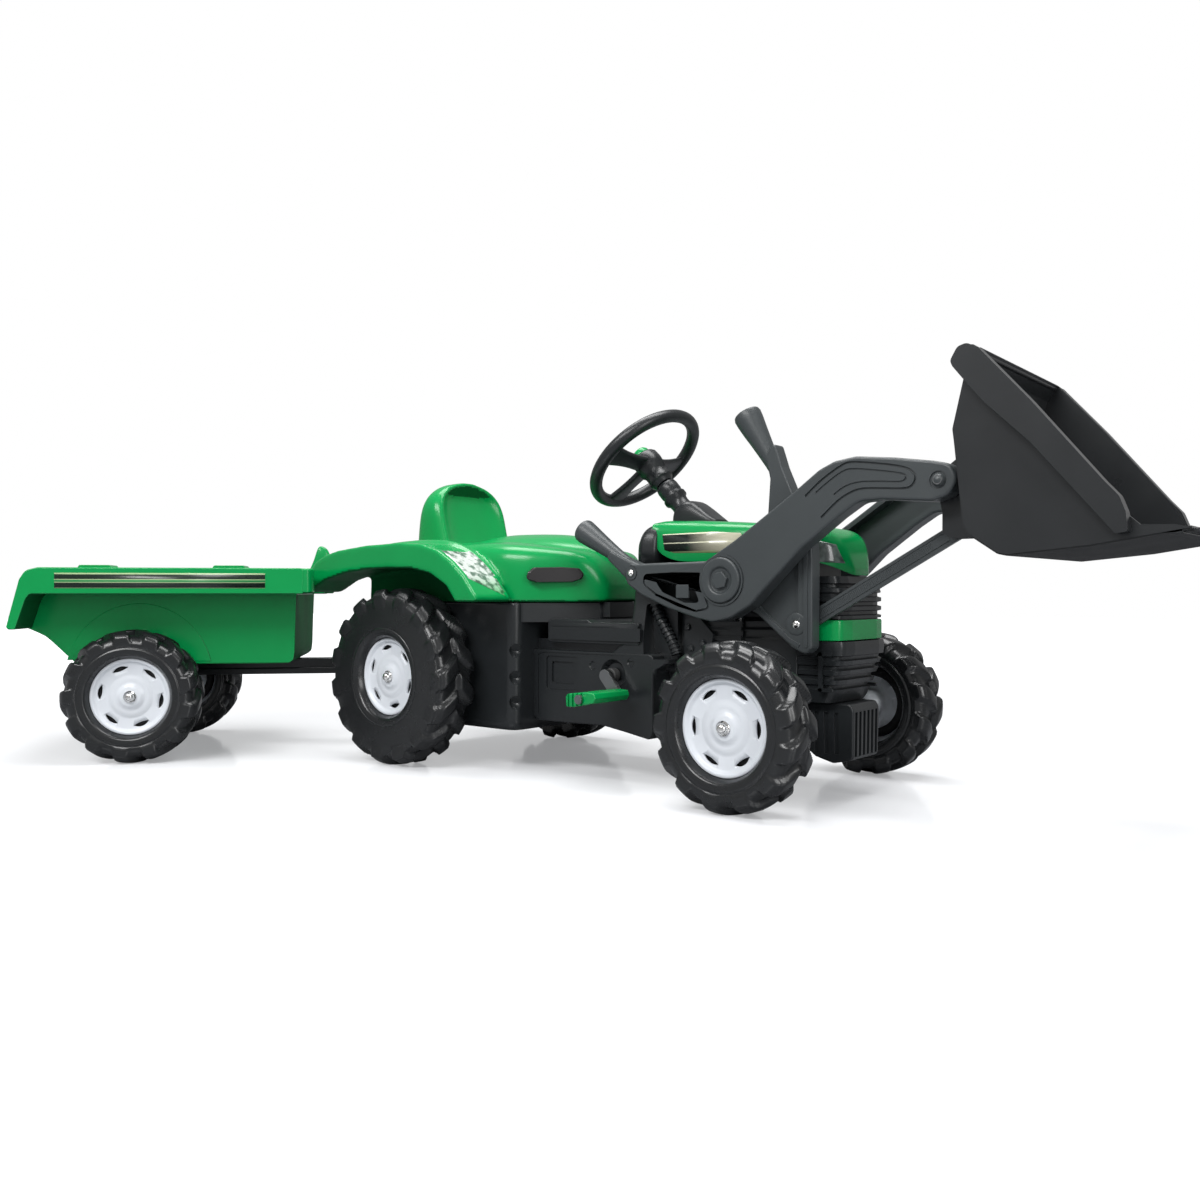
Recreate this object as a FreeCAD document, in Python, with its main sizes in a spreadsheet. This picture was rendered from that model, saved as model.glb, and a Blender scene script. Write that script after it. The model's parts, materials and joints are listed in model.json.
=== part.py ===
import FreeCAD, Part
import math
import os
import Sketcher
from FreeCAD import Placement, Rotation, Vector

# Ride-on pedal tractor with a two-arm front loader and a two-wheel trailer.
#
# Everything is drawn in a working frame (mm): X forward, Y to the driver's
# left, Z up, zero on the ground under the middle of the rear axle.  A final
# Placement moves each piece so that the origin is the bottom centre of the
# whole machine's box.  The trailer is drawn straight behind the tractor and
# its Placement also turns it about the hitch pin.
#
# Outlines are lists of (X, Z) points on the XZ plane and of (X, Y) points on
# the XY plane, unless a comment says otherwise.

doc = FreeCAD.newDocument("pedal_tractor_loader")

# ---------------------------------------------------------------- dimensions
DIMS = {
    "origin_x": 196.85, "origin_y": -210.28,
    "wheelbase": 680.0,
    "front_tyre_r": 117.0, "front_tyre_w": 74.0, "front_track": 422.0,
    "rear_tyre_r": 153.5, "rear_tyre_w": 84.0, "rear_track": 437.0,
    "trailer_track": 404.0, "trailer_axle_x": -700.5,
    "rim_r": 66.0, "rim_hub_r": 18.0, "tread_depth": 10.0,
    "axle_small_r": 6.0, "axle_rear_r": 7.0, "run_gap": 0.06,
    "lug_count": 12.0, "lug_count_rear": 14.0,
    "pedestal_half": 165.0, "tunnel_half": 120.0, "dash_half": 104.0,
    "front_half": 78.0, "wall": 4.0,
    "hood_half": 80.0, "hood_front_half": 72.5,
    "fender_out": 250.0, "fender_in": 168.0, "seat_half": 93.0,
    "nose_half": 60.0,
    "pivot_x": 617.0, "pivot_z": 317.0, "pivot_shaft_r": 8.0,
    "arm_in": 110.0, "arm_out": 142.0,
    "bucket_x": 938.0, "bucket_z": 440.0, "bucket_rod_r": 6.0,
    "lever_in": 82.0, "lever_out": 108.0,
    "link_in": 73.0, "link_out": 80.0, "link_bolt_r": 4.0,
    "link_rear_x": 719.0, "link_rear_z": 254.5,
    "link_front_x": 942.0, "link_front_z": 381.0,
    "band_half": 72.3, "bucket_half": 155.0, "bucket_rim_half": 172.0,
    "crank_x": 397.0, "crank_z": 168.0, "crank_throw_x": 24.0, "crank_throw_z": -29.0,
    "crank_shaft_r": 6.0, "spindle_r": 5.0,
    "wheel_x": 372.0, "wheel_z": 524.0, "column_tilt": 42.35,
    "steer_rim_r": 97.0, "steer_grip_r": 9.5, "column_r": 6.0,
    "kingpin_y": 120.0, "kingpin_r": 5.0,
    "hitch_x": -200.0, "hitch_pin_r": 6.0, "trailer_turn": 48.81,
    "tub_half": 160.0, "tub_rim_half": 240.0, "tub_skin": 4.0,
}
sheet = doc.addObject("Spreadsheet::Sheet", "dims")
for row, (alias, value) in enumerate(DIMS.items(), start=1):
    sheet.set("A%d" % row, alias)
    sheet.set("B%d" % row, repr(value))
    sheet.setAlias("B%d" % row, alias)
doc.recompute()


def dim(alias):
    return float(sheet.get(alias))


def val(size):
    """Number of a size given as a number, 'alias' or '-alias'."""
    if isinstance(size, str):
        return -dim(size[1:]) if size.startswith("-") else dim(size)
    return float(size)


def expression(size):
    """The same size as an expression on the sheet."""
    if isinstance(size, str):
        return "-dims." + size[1:] if size.startswith("-") else "dims." + size
    return repr(float(size))


def span(side, inner, outer):
    """Y stations, low then high, of a span on the right (-1) or left (+1) side."""
    if side > 0:
        return inner, outer
    return tuple("-" + size if isinstance(size, str) else -size for size in (outer, inner))


SIDES = (("right", -1), ("left", 1))
FIT_GAP = 0.02       # radial gap of a snug bore
LOOSE_GAP = 0.05     # radial gap of a looser bore
run_gap = dim("run_gap")
wall = dim("wall")

front_x = dim("wheelbase")
front_r = dim("front_tyre_r")
front_y = dim("front_track") / 2
rear_r = dim("rear_tyre_r")
rear_y = dim("rear_track") / 2
trailer_x = dim("trailer_axle_x")
trailer_y = dim("trailer_track") / 2
axle_small_r = dim("axle_small_r")
axle_rear_r = dim("axle_rear_r")
pivot_bore_r = dim("pivot_shaft_r") + LOOSE_GAP
bearing_r = 11.0     # chassis holes for the axle and crank bushes

# ---------------------------------------------------------------- placements
hitch = Vector(dim("hitch_x"), 0, 0)
turn = Rotation(Vector(0, 0, 1), dim("trailer_turn"))
SHIFT = Placement(Vector(-dim("origin_x"), -dim("origin_y"), 0), Rotation())
TRAIL = SHIFT.multiply(Placement(hitch - turn.multVec(hitch), turn))
HALF_TURN = Rotation(Vector(0, 0, 1), 180)

NODES = {}


def at(x, y, z, rotation=Rotation(), base=SHIFT):
    return base.multiply(Placement(Vector(x, y, z), rotation))


def node(name, obj, placement=SHIFT):
    """Registers an object as a finished piece."""
    obj.Label = name
    NODES[name] = (obj, placement)


def repeated(name, source, placement):
    """Registers a copy of the source's shape at another place."""
    doc.recompute()
    feature = doc.addObject("Part::Feature", name)
    shape = source.Shape.copy()
    shape.Placement = Placement()
    feature.Shape = shape
    node(name, feature, placement)


# ------------------------------------------------------------ sketched bodies
def circle(x, y, radius):
    return ("circle", x, y, radius)


def rect(x0, x1, y0, y1):
    return [(x0, y0), (x1, y0), (x1, y1), (x0, y1)]


class Piece:
    """A PartDesign body made of sketches on its own origin planes."""

    def __init__(self, name):
        self.name = name
        self.body = doc.addObject("PartDesign::Body", name + "_body")
        self.count = 0

    def origin_feature(self, role):
        for feature in self.body.Origin.OriginFeatures:
            if feature.Role == role:
                return feature

    def sketch(self, plane, loops, offset, offset_expression=None):
        self.count += 1
        sketch = self.body.newObject("Sketcher::SketchObject",
                                     "%s_sk%d" % (self.name, self.count))
        sketch.AttachmentSupport = [(self.origin_feature(plane + "_Plane"), "")]
        sketch.MapMode = "FlatFace"
        sketch.AttachmentOffset = Placement(Vector(0, 0, offset), Rotation())
        if offset_expression:
            sketch.setExpression("AttachmentOffset.Base.z", offset_expression)
        for loop in loops:
            if loop[0] == "circle":
                x, y, radius = loop[1:]
                edge = sketch.addGeometry(
                    Part.Circle(Vector(val(x), val(y), 0), Vector(0, 0, 1), val(radius)), False)
                rule = sketch.addConstraint(Sketcher.Constraint("Radius", edge, val(radius)))
                if isinstance(radius, str):
                    sketch.setExpression("Constraints[%d]" % rule, expression(radius))
                continue
            first = sketch.GeometryCount
            total = len(loop)
            for i in range(total):
                start, end = loop[i], loop[(i + 1) % total]
                sketch.addGeometry(
                    Part.LineSegment(Vector(*start, 0), Vector(*end, 0)), False)
            for i in range(total):
                sketch.addConstraint(Sketcher.Constraint(
                    "Coincident", first + i, 2, first + (i + 1) % total, 1))
        return sketch

    def extrude(self, kind, plane, low, high, loops):
        """Pads run along the plane's normal and pockets against it; the
        normal of the XZ plane is -Y."""
        flipped = plane == "XZ"
        station = high if (kind == "Pad") == flipped else low
        offset = -val(station) if flipped else val(station)
        bound = isinstance(low, str) or isinstance(high, str)
        offset_expression = None
        if bound:
            offset_expression = ("-(%s)" if flipped else "%s") % expression(station)
        sketch = self.sketch(plane, loops, offset, offset_expression)
        feature = self.body.newObject("PartDesign::" + kind,
                                      "%s_%s%d" % (self.name, kind.lower(), self.count))
        feature.Profile = sketch
        feature.Length = val(high) - val(low)
        if bound:
            feature.setExpression("Length", "(%s) - (%s)" % (expression(high), expression(low)))
        self.body.Tip = feature
        return feature

    def pad(self, plane, low, high, *loops):
        """Adds the loops between two stations on the axis across the plane."""
        return self.extrude("Pad", plane, low, high, loops)

    def pocket(self, plane, low, high, *loops):
        """Removes the loops between two stations; fails if nothing is cut."""
        doc.recompute()
        before = self.body.Shape.Volume
        feature = self.extrude("Pocket", plane, low, high, loops)
        doc.recompute()
        if not self.body.Shape.Volume < before - 1e-3:
            raise RuntimeError("pocket %s cut nothing" % feature.Name)
        return feature

    def pad_across(self, half, *loops):
        """Pad of XZ loops, half to each side of the middle plane."""
        self.pad("XZ", span(-1, half, half)[0], half, *loops)

    def pocket_across(self, half, *loops):
        self.pocket("XZ", -half, half, *loops)

    def revolve(self, loop):
        """Revolves a half section of (radius, Y) points about the Y axis."""
        sketch = self.sketch("XY", [loop], 0)
        feature = self.body.newObject("PartDesign::Revolution",
                                      "%s_rev%d" % (self.name, self.count))
        feature.Profile = sketch
        feature.ReferenceAxis = (sketch, ["V_Axis"])
        feature.Angle = 360.0
        self.body.Tip = feature

    def polar(self, feature, count):
        """Repeats a feature round the Y axis; count is a number or an alias."""
        pattern = self.body.newObject("PartDesign::PolarPattern",
                                      "%s_polar%d" % (self.name, self.count))
        pattern.Originals = [feature]
        pattern.Axis = (self.origin_feature("Y_Axis"), [""])
        pattern.Angle = 360.0
        pattern.Occurrences = int(val(count))
        if isinstance(count, str):
            pattern.setExpression("Occurrences", expression(count))
        self.body.Tip = pattern


# -------------------------------------------------------------- plain solids
def bind(obj, prop, size):
    setattr(obj, prop, val(size))
    if isinstance(size, str):
        obj.setExpression(prop, expression(size))


def lay(solid, start, end):
    """Sets the height of a cylinder or cone and lays it from start to end."""
    base, axis = Vector(*start), Vector(*end) - Vector(*start)
    solid.Height = axis.Length
    solid.Placement = Placement(base, Rotation(Vector(0, 0, 1), axis))
    return solid


def cylinder(name, radius, start, end):
    solid = doc.addObject("Part::Cylinder", name)
    bind(solid, "Radius", radius)
    return lay(solid, start, end)


def post(name, radius, z0, z1):
    """Cylinder on the Z axis."""
    return cylinder(name, radius, (0, 0, z0), (0, 0, z1))


def cross_rod(name, radius, x, z, y0, y1):
    """Cylinder along Y."""
    return cylinder(name, radius, (x, y0, z), (x, y1, z))


def cone(name, radius1, radius2, start, end):
    solid = doc.addObject("Part::Cone", name)
    bind(solid, "Radius1", radius1)
    bind(solid, "Radius2", radius2)
    return lay(solid, start, end)


def box(name, x0, x1, y0, y1, z0, z1):
    solid = doc.addObject("Part::Box", name)
    solid.Length, solid.Width, solid.Height = x1 - x0, y1 - y0, z1 - z0
    solid.Placement = Placement(Vector(x0, y0, z0), Rotation())
    return solid


def turned(name, profile, start, end):
    """Turned body: (radius, distance along) profile laid from start to end."""
    piece = Piece(name)
    piece.revolve(profile)
    axis = Vector(*end) - Vector(*start)
    piece.body.Placement = Placement(Vector(*start), Rotation(Vector(0, 1, 0), axis))
    return piece.body


def fuse(name, parts):
    result = doc.addObject("Part::MultiFuse", name)
    result.Shapes = parts
    return result


def cut(name, base, tool):
    result = doc.addObject("Part::Cut", name)
    result.Base = base
    result.Tool = tool
    return result


def group(name, parts):
    result = doc.addObject("Part::Compound", name)
    result.Links = parts
    return result


def tube(pattern, outer, inner, x, z, y0, y1):
    """Tube along Y; the %s in the name takes _o and _i for its two cylinders."""
    return cut(pattern % "",
               cross_rod(pattern % "_o", outer, x, z, y0, y1),
               cross_rod(pattern % "_i", inner, x, z, y0 - 1, y1 + 1))


def belt(centre1, radius1, centre2, radius2):
    """Outline of a band laid round two circles, in 24 steps on each."""
    steps = 24
    dx, dy = centre2[0] - centre1[0], centre2[1] - centre1[1]
    heading = math.atan2(dy, dx)
    wrap = math.acos((radius1 - radius2) / math.hypot(dx, dy))
    points = []
    for centre, radius, first, sweep in (
            (centre2, radius2, heading - wrap, 2 * wrap),
            (centre1, radius1, heading + wrap, 2 * math.pi - 2 * wrap)):
        for i in range(steps + 1):
            angle = first + sweep * i / steps
            points.append((centre[0] + radius * math.cos(angle),
                           centre[1] + radius * math.sin(angle)))
    return points


# -------------------------------------------------------------------- wheels
# Tyres and rims have their axis on Y and their outer side towards -Y.
HUB_INSET = 14.0     # rim hub face, inward from the tyre's outer side


def lug_outline(radius, step, middle):
    """A tread bar in side view, centred on the angle middle."""
    root_r = radius - dim("tread_depth") - 7
    top, root = radius * step * 0.20, radius * step * 0.30      # half widths
    points = []
    for r, along in ((root_r, -root), (radius, -top), (radius, 0.0),
                     (radius, top), (root_r, root)):
        angle = middle + along / r
        points.append((r * math.sin(angle), -r * math.cos(angle)))
    return points


def tyre(name, radius, width, lug_count):
    """Carcass with a rim seat and an inner disc, and two rows of tread bars."""
    piece = Piece(name)
    half = width / 2.0
    tread_r = radius - dim("tread_depth")
    rim_r = dim("rim_r")
    piece.revolve([
        (rim_r + 0.1, -half + 9), (rim_r + 9, -half + 3), (tread_r - 22, -half),
        (tread_r - 8, -half + 5), (tread_r, -half + 16), (tread_r, half - 16),
        (tread_r - 8, half - 5), (tread_r - 22, half), (rim_r - 2, half - 2),
        (rim_r - 6, half - 8), (20, half - 10), (20, half - 16),
        (rim_r - 12, half - 16), (rim_r + 0.1, half - 24)])
    step = 2 * math.pi / dim(lug_count)
    # The inner row sits half a step round from the outer one.
    for low, high, middle in ((-half + 4, 1.0, 0.0), (-1.0, half - 4, step / 2)):
        bar = piece.pad("XZ", low, high, lug_outline(radius, step, middle))
        piece.polar(bar, lug_count)
    return piece.body


def rim_slot():
    """Curved slot at the top of the rim, tapering to both ends."""
    middle_r, half_width, half_angle = 51.0, 3.5, 16
    points = []
    for way, angles in ((1, range(-16, 17, 4)), (-1, range(12, -13, -4))):
        for degrees in angles:
            angle = math.radians(degrees)
            bulge = half_width * math.cos(math.radians(90 * degrees / half_angle))
            points.append((middle_r * math.sin(angle),
                           middle_r * math.cos(angle) + way * bulge))
    return points


def rim(name, bore_r, tyre_width):
    """Rim disc with six slots, a conical hub and a hub tube."""
    piece = Piece(name)
    rim_r, hub_r, half = dim("rim_r"), dim("rim_hub_r"), tyre_width / 2.0
    hub = -half + HUB_INSET
    lip = -half + 15.5
    face = -half + 20.0
    piece.revolve([
        (bore_r, hub), (17, hub), (20, -half + 16), (34, face), (60, face), (62, lip),
        (rim_r, lip), (rim_r, half - 26), (rim_r - 3, half - 26), (rim_r - 3, face + 4),
        (hub_r, face + 4), (hub_r, half - 9), (bore_r, half - 9)])
    slot = piece.pocket("XZ", face - 2, face + 6, rim_slot())
    piece.polar(slot, 6)
    return piece.body


front_w, rear_w = dim("front_tyre_w"), dim("rear_tyre_w")
for kind, front, rear in (
        ("tyre", tyre("front_right_tyre", front_r, front_w, "lug_count"),
         tyre("rear_right_tyre", rear_r, rear_w, "lug_count_rear")),
        ("rim", rim("front_right_rim", axle_small_r + run_gap, front_w),
         rim("rear_right_rim", axle_rear_r + FIT_GAP, rear_w))):
    node("front_right_" + kind, front, at(front_x, -front_y, front_r))
    repeated("front_left_" + kind, front, at(front_x, front_y, front_r, HALF_TURN))
    repeated("trailer_right_" + kind, front, at(trailer_x, -trailer_y, front_r, base=TRAIL))
    repeated("trailer_left_" + kind, front,
             at(trailer_x, trailer_y, front_r, HALF_TURN, TRAIL))
    node("rear_right_" + kind, rear, at(0, -rear_y, rear_r))
    repeated("rear_left_" + kind, rear, at(0, rear_y, rear_r, HALF_TURN))


def nut(name, axle_r, face_y, side):
    """Conical cap nut with a washer, on the Y axis; side is -1 right, +1 left."""
    washer_y = face_y + 2.0
    whole = fuse(name + "_whole", [
        cross_rod(name + "_washer", 11.0, 0, 0, side * face_y, side * washer_y),
        cone(name + "_dome", 8.5, 5.0, (0, side * washer_y, 0), (0, side * (face_y + 8.0), 0))])
    hole = cross_rod(name + "_hole", axle_r + FIT_GAP, 0, 0,
                     side * (face_y - 1), side * (face_y + 4.0))
    return cut(name + "_cut", whole, hole)


def nut_pair(name, axle_r, face_y):
    return group(name + "_pair", [nut(name + "_r", axle_r, face_y, -1),
                                  nut(name + "_l", axle_r, face_y, 1)])


# Y of the outer hub faces; the axles reach AXLE_REACH beyond them.
AXLE_REACH = 4
NUT_GAP = 0.5
front_face = front_y + front_w / 2 - HUB_INSET
trailer_face = trailer_y + front_w / 2 - HUB_INSET
rear_face = rear_y + rear_w / 2 - HUB_INSET
for side_name, side in SIDES:
    name = "front_%s_nut" % side_name
    node(name, nut(name, axle_small_r, front_face + NUT_GAP, side), at(front_x, 0, front_r))
node("rear_axle_nuts", nut_pair("rear_nut", axle_rear_r, rear_face + 0.1), at(0, 0, rear_r))
node("trailer_axle_nuts", nut_pair("trailer_nut", axle_small_r, trailer_face + NUT_GAP),
     at(trailer_x, 0, front_r, base=TRAIL))

# ------------------------------------------------------------------- chassis
# Hollow body, parted in the middle plane into a right and a left shell.
# Rows: half width, outline.
CHASSIS_BLOCKS = [
    # pedestal under the seat
    ("pedestal_half", [(-150, 72), (226, 66), (226, 282), (-150, 282)]),
    # drive tunnel
    ("tunnel_half", [(220, 70), (372, 88), (425, 70), (425, 236), (400, 250), (220, 250)]),
    # dash column
    ("dash_half", [(415, 66), (445, 64), (482, 100), (482, 345), (440, 345), (428, 322),
                   (424, 250), (415, 240)]),
    # riser between pedestal and tunnel top
    (56, rect(222, 322, 248, 284)),
    # front body under the hood, rear and front portions
    ("front_half", rect(475, 612, 98, 345)),
    (70, rect(605, 700, 98, 345)),
]
# Cavities of the same blocks, in the same order.
CHASSIS_CAVITIES = [
    (dim("pedestal_half") - wall, [(-146, 76), (222, 71), (222, 278), (-146, 278)]),
    (dim("tunnel_half") - wall,
     [(216, 76), (372, 92), (421, 76), (421, 234), (398, 246), (216, 246)]),
    (dim("dash_half") - wall,
     [(411, 72), (443, 69), (478, 103), (478, 341), (443, 341), (432, 321),
      (428, 250), (411, 240)]),
    (56 - wall, rect(226, 318, 240, 280)),
    (dim("front_half") - wall, rect(470, 608, 102, 341)),
    (70 - wall, rect(600, 696, 102, 341)),
]
CHASSIS_HOLES = [
    (170, circle(0, "rear_tyre_r", bearing_r)),
    (125, circle("crank_x", "crank_z", bearing_r)),
    (115, circle("pivot_x", "pivot_z", pivot_bore_r)),
    # openings for the tie rod and the front axle beam
    (90, rect(585, 628, 127, 146)),
    (90, rect(666, 694, 90, 140)),
]
chassis = Piece("chassis")
for half, outline in CHASSIS_BLOCKS:
    chassis.pad_across(half, outline)
# Bosses for the loader's pivot shaft, right and left.
chassis.pad("XZ", -81.5, 0, circle("pivot_x", "pivot_z", 24.0))
chassis.pad("XZ", 0, 109.5, circle("pivot_x", "pivot_z", 28.0))
for half, outline in CHASSIS_CAVITIES + CHASSIS_HOLES:
    chassis.pocket_across(half, outline)
# Slot in the top for the steering column.
chassis.pocket("XY", 325, 350, rect(505, 585, -14, 14))
for side_name, side in SIDES:
    half_space = box(side_name + "_half", -400, 900, *span(side, 0.05, 400), 0, 500)
    common = doc.addObject("Part::Common", "chassis_%s_common" % side_name)
    common.Base = chassis.body
    common.Tool = half_space
    node("chassis_%s_shell" % side_name, common)

# ---------------------------------------------------------------------- seat
# Central deck, saddle, nose, backrest and the two fenders.
deck = [(-150, 282.1), (230, 282.1), (215, 345), (190, 370), (100, 386), (-150, 386)]
deck_cavity = [(-146, 270), (226, 270), (211, 342), (187, 366), (100, 382), (-146, 382)]
# Seen from above:
saddle = [(120, -167), (226, -166), (318, -64), (328, -52),
          (328, 52), (318, 64), (226, 166), (120, 167)]
saddle_cavity = [(100, -163), (224, -162), (315, -61), (324, -50),
                 (324, 50), (315, 61), (224, 162), (100, 163)]
nose = [(90, 300), (326, 300), (326, 345), (312, 356), (280, 370), (200, 393), (90, 404)]
nose_cavity = [(86, 290), (322, 290), (322, 342), (308, 353), (278, 366), (200, 389), (86, 399)]
backrest = [(-144, 380), (80, 380), (46, 409), (-8, 425), (-32, 488), (-48, 506),
            (-80, 512), (-111, 490), (-139, 400)]
backrest_cavity = [(-140, 370), (76, 370), (42, 405), (-12, 422), (-36, 486), (-51, 502),
                   (-78, 507), (-108, 487), (-135, 399)]
fender = [(-254, 301), (-235, 330), (-180, 362), (-100, 378), (36, 385), (120, 376),
          (185, 345), (224, 287), (169, 285), (150, 308), (110, 327), (50, 340),
          (-50, 341), (-150, 330), (-215, 300)]
fender_cavity = [(-246, 299), (-229, 326), (-177, 357), (-99, 373.5), (36, 380.5),
                 (119, 371.5), (181, 342), (218, 286), (218, 270), (-246, 270)]
seat = Piece("seat_shell")
seat.pad_across(168, deck)
seat.pad("XY", 284.2, 340, saddle)
seat.pad_across("nose_half", nose)
seat.pad_across("seat_half", backrest)
for side in (1, -1):
    seat.pad("XZ", *span(side, "fender_in", "fender_out"), fender)
for side in (1, -1):
    seat.pocket("XZ", *span(side, dim("fender_in") + wall, dim("fender_out") - wall),
                fender_cavity)
seat.pocket_across(168 - wall, deck_cavity)
seat.pocket("XY", 270, 336, saddle_cavity)
seat.pocket_across(dim("nose_half") - wall, nose_cavity)
seat.pocket_across(dim("seat_half") - wall, backrest_cavity)
node("seat_shell", seat.body)

# Oblong trim on each slanted side face of the saddle; (along, Z) points.
insert = Piece("seat_insert")
insert.pad("XZ", -2.1, -0.1,
           [(-40, -6), (-32, 9), (32, 9), (40, 4), (38, -4), (22, -9), (-24, -9)])
slant = math.atan2(saddle[2][1] - saddle[1][1], saddle[2][0] - saddle[1][0])
insert.body.Placement = Placement(Vector(271.5, -115.6, 327),
                                  Rotation(Vector(0, 0, 1), math.degrees(slant)))
insert_left = doc.addObject("Part::Mirroring", "insert_left")
insert_left.Source = insert.body
insert_left.Base = Vector(0, 0, 0)
insert_left.Normal = Vector(0, 1, 0)
node("seat_side_inserts", group("insert_pair", [insert.body, insert_left]))

# ------------------------------------------------------------- hood and nose
hood = Piece("hood")
hood.pad_across("hood_half", [(455, 345.2), (447, 411), (500, 413), (650, 404), (650, 345.2)])
hood.pad_across("hood_front_half", [
    (640, 345.2), (640, 405), (735, 393), (752, 372), (766, 322.7), (700.2, 322.7),
    (700.2, 345.2)])
hood.pocket_across(dim("hood_half") - wall,
                   [(459, 340), (452, 407), (500, 409), (646, 400), (646, 340)])
hood.pocket_across(69, [(636, 340), (636, 401), (733, 389), (748, 371), (761, 318),
                        (704, 318), (704, 340)])
hood.pocket("XY", 400, 420, rect(452, 505, -13, 13))     # slot for the steering column
node("hood", hood.body)

cowl = Piece("dash_cowl")
cowl.pad_across(92, [(430, 347), (425, 368), (430, 392), (444, 408), (444, 347)])
node("dash_cowl", cowl.body)

# Hollow grille: upper block, narrower waist, lower block, slots in both fronts.
grille = Piece("front_grille")
grille.pad_across(71, [(700.2, 261), (700.2, 322.5), (764, 322.5), (771, 300), (771, 261)])
grille.pad_across(66, [(700.2, 226), (700.2, 264), (764, 264), (764, 226)])
grille.pad_across(72, [(700.2, 140.5), (700.2, 230), (776, 230), (774, 190), (765, 154),
                       (745, 140.5)])
grille.pocket_across(62, [(698, 146), (698, 318), (758, 318), (758, 232), (768, 224),
                          (766, 190), (758, 160), (742, 146)])
slot_height = 6
for i in range(4):
    z = 268 + 13 * i
    grille.pocket_across(60, rect(767, 780, z, z + slot_height))
for i in range(4):
    z = 166 + 14 * i
    slot_back = 762.5 + 0.19 * (z - 146)     # follows the leaning front
    grille.pocket_across(55, rect(slot_back, 785, z, z + slot_height))
node("front_grille", grille.body)

# U-shaped band round the grille's waist.
band = Piece("front_band")
band.pad_across("band_half", [(700.2, 230.3), (700.2, 260.7), (771, 260.7), (771, 230.3)])
band.pocket("XY", 225, 265, rect(690, 764.2, -66.2, 66.2))
node("front_band", band.body)

# Block below the grille, with five upright grooves in its front.
weight = Piece("front_weight")
weight.pad_across(43, [(700.2, 70), (700.2, 140.3), (775, 140.3), (775, 58), (740, 52),
                       (712, 60)])
for i in range(5):
    groove_y = -34 + 17 * i
    weight.pocket("XY", 62, 134, rect(771, 780, groove_y - 3.5, groove_y + 3.5))
node("front_weight", weight.body)

# ---------------------------------------------------------------- front axle
kingpin_y = dim("kingpin_y")
kingpin_bore_r = dim("kingpin_r") + run_gap
beam = Piece("front_axle_beam")
beam.pad("XY", 96, 138, rect(668, 692, -134, 134))
for side in (1, -1):     # forks for the knuckle bosses
    beam.pocket("XZ", *span(side, 104, 140), rect(660, 700, 106, 128))
beam.pocket("XY", 90, 145, circle("wheelbase", "kingpin_y", kingpin_bore_r),
            circle("wheelbase", "-kingpin_y", kingpin_bore_r))
node("front_axle_beam", beam.body)

TIE_X = 603.0            # tie rod studs
ARM_BOTTOM, ARM_TOP = 138.5, 143.5
for side_name, side in SIDES:
    name = side_name + "_knuckle"
    pin_y = side * kingpin_y
    node(name, fuse(name + "_fuse", [
        cylinder(name + "_pin", "kingpin_r", (front_x, pin_y, 92), (front_x, pin_y, ARM_TOP)),
        cylinder(name + "_boss", 11.0, (front_x, pin_y, 106.5), (front_x, pin_y, 127.5)),
        cross_rod(name + "_stub", "axle_small_r", front_x, front_r,
                  pin_y, side * (front_face + AXLE_REACH)),
        cross_rod(name + "_collar", 10.0, front_x, front_r, side * 176, side * 182.5),
        box(name + "_arm", TIE_X - 8, front_x + 7, pin_y - 7, pin_y + 7, ARM_BOTTOM, ARM_TOP),
        cylinder(name + "_stud", 3.0, (TIE_X, pin_y, 130), (TIE_X, pin_y, 140)),
    ]))

# Flat tie rod with a slotted eye in the middle and one at each end.
tie = Piece("tie_rod")
tie.pad("XY", 132, 137, [
    (597, -112), (609, -112), (609, -26), (623, -26), (623, 26), (609, 26), (609, 112),
    (618, 112), (618, 132), (594, 132), (594, 112), (597, 112), (597, 26), (591, 26),
    (591, -26), (597, -26)])
tie.pad("XY", 132, 137, rect(594, 618, -132, -111))
tie.pocket("XY", 130, 139, rect(594.5, 619.5, -4.8, 4.8))
for side in (-1, 1):
    pin_y = side * kingpin_y
    tie.pocket("XY", 130, 139, rect(598.5, 614, pin_y - 4.2, pin_y + 4.2))
node("tie_rod", tie.body)

# ------------------------------------------------------------------ steering
# The steering parts are drawn in an inclined frame: its Z runs up the column
# towards the driver, its X points forward and up.
COLUMN = Placement(Vector(dim("wheel_x"), 0, dim("wheel_z")),
                   Rotation(Vector(0, 1, 0), -dim("column_tilt")))
STEER = SHIFT.multiply(COLUMN)
ring = doc.addObject("Part::Torus", "wheel_ring")
bind(ring, "Radius1", "steer_rim_r")
bind(ring, "Radius2", "steer_grip_r")
wheel_parts = [ring, post("wheel_hub", 24.0, -30, 4),
               cone("wheel_skirt", 15.0, 20.0, (0, 0, -60), (0, 0, -30))]
for i, degrees in enumerate((180.0, 90.0, -90.0)):
    spoke = box("wheel_spoke%d" % i, 18, 96, -11, 11, -8, -1)
    around = Placement(Vector(0, 0, 0), Rotation(Vector(0, 0, 1), degrees))
    spoke.Placement = around.multiply(spoke.Placement)
    wheel_parts.append(spoke)
wheel_holes = fuse("wheel_holes", [post("wheel_bore", dim("column_r") + FIT_GAP, -61, -12),
                                   post("horn_seat", 15.6, -4, 9)])
node("steering_wheel", cut("wheel_cut", fuse("wheel_solid", wheel_parts), wheel_holes), STEER)
node("horn_button", fuse("horn", [post("horn_cap", 15.4, 0.5, 9),
                                  post("horn_tab", 11.0, 9, 13)]), STEER)

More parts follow.
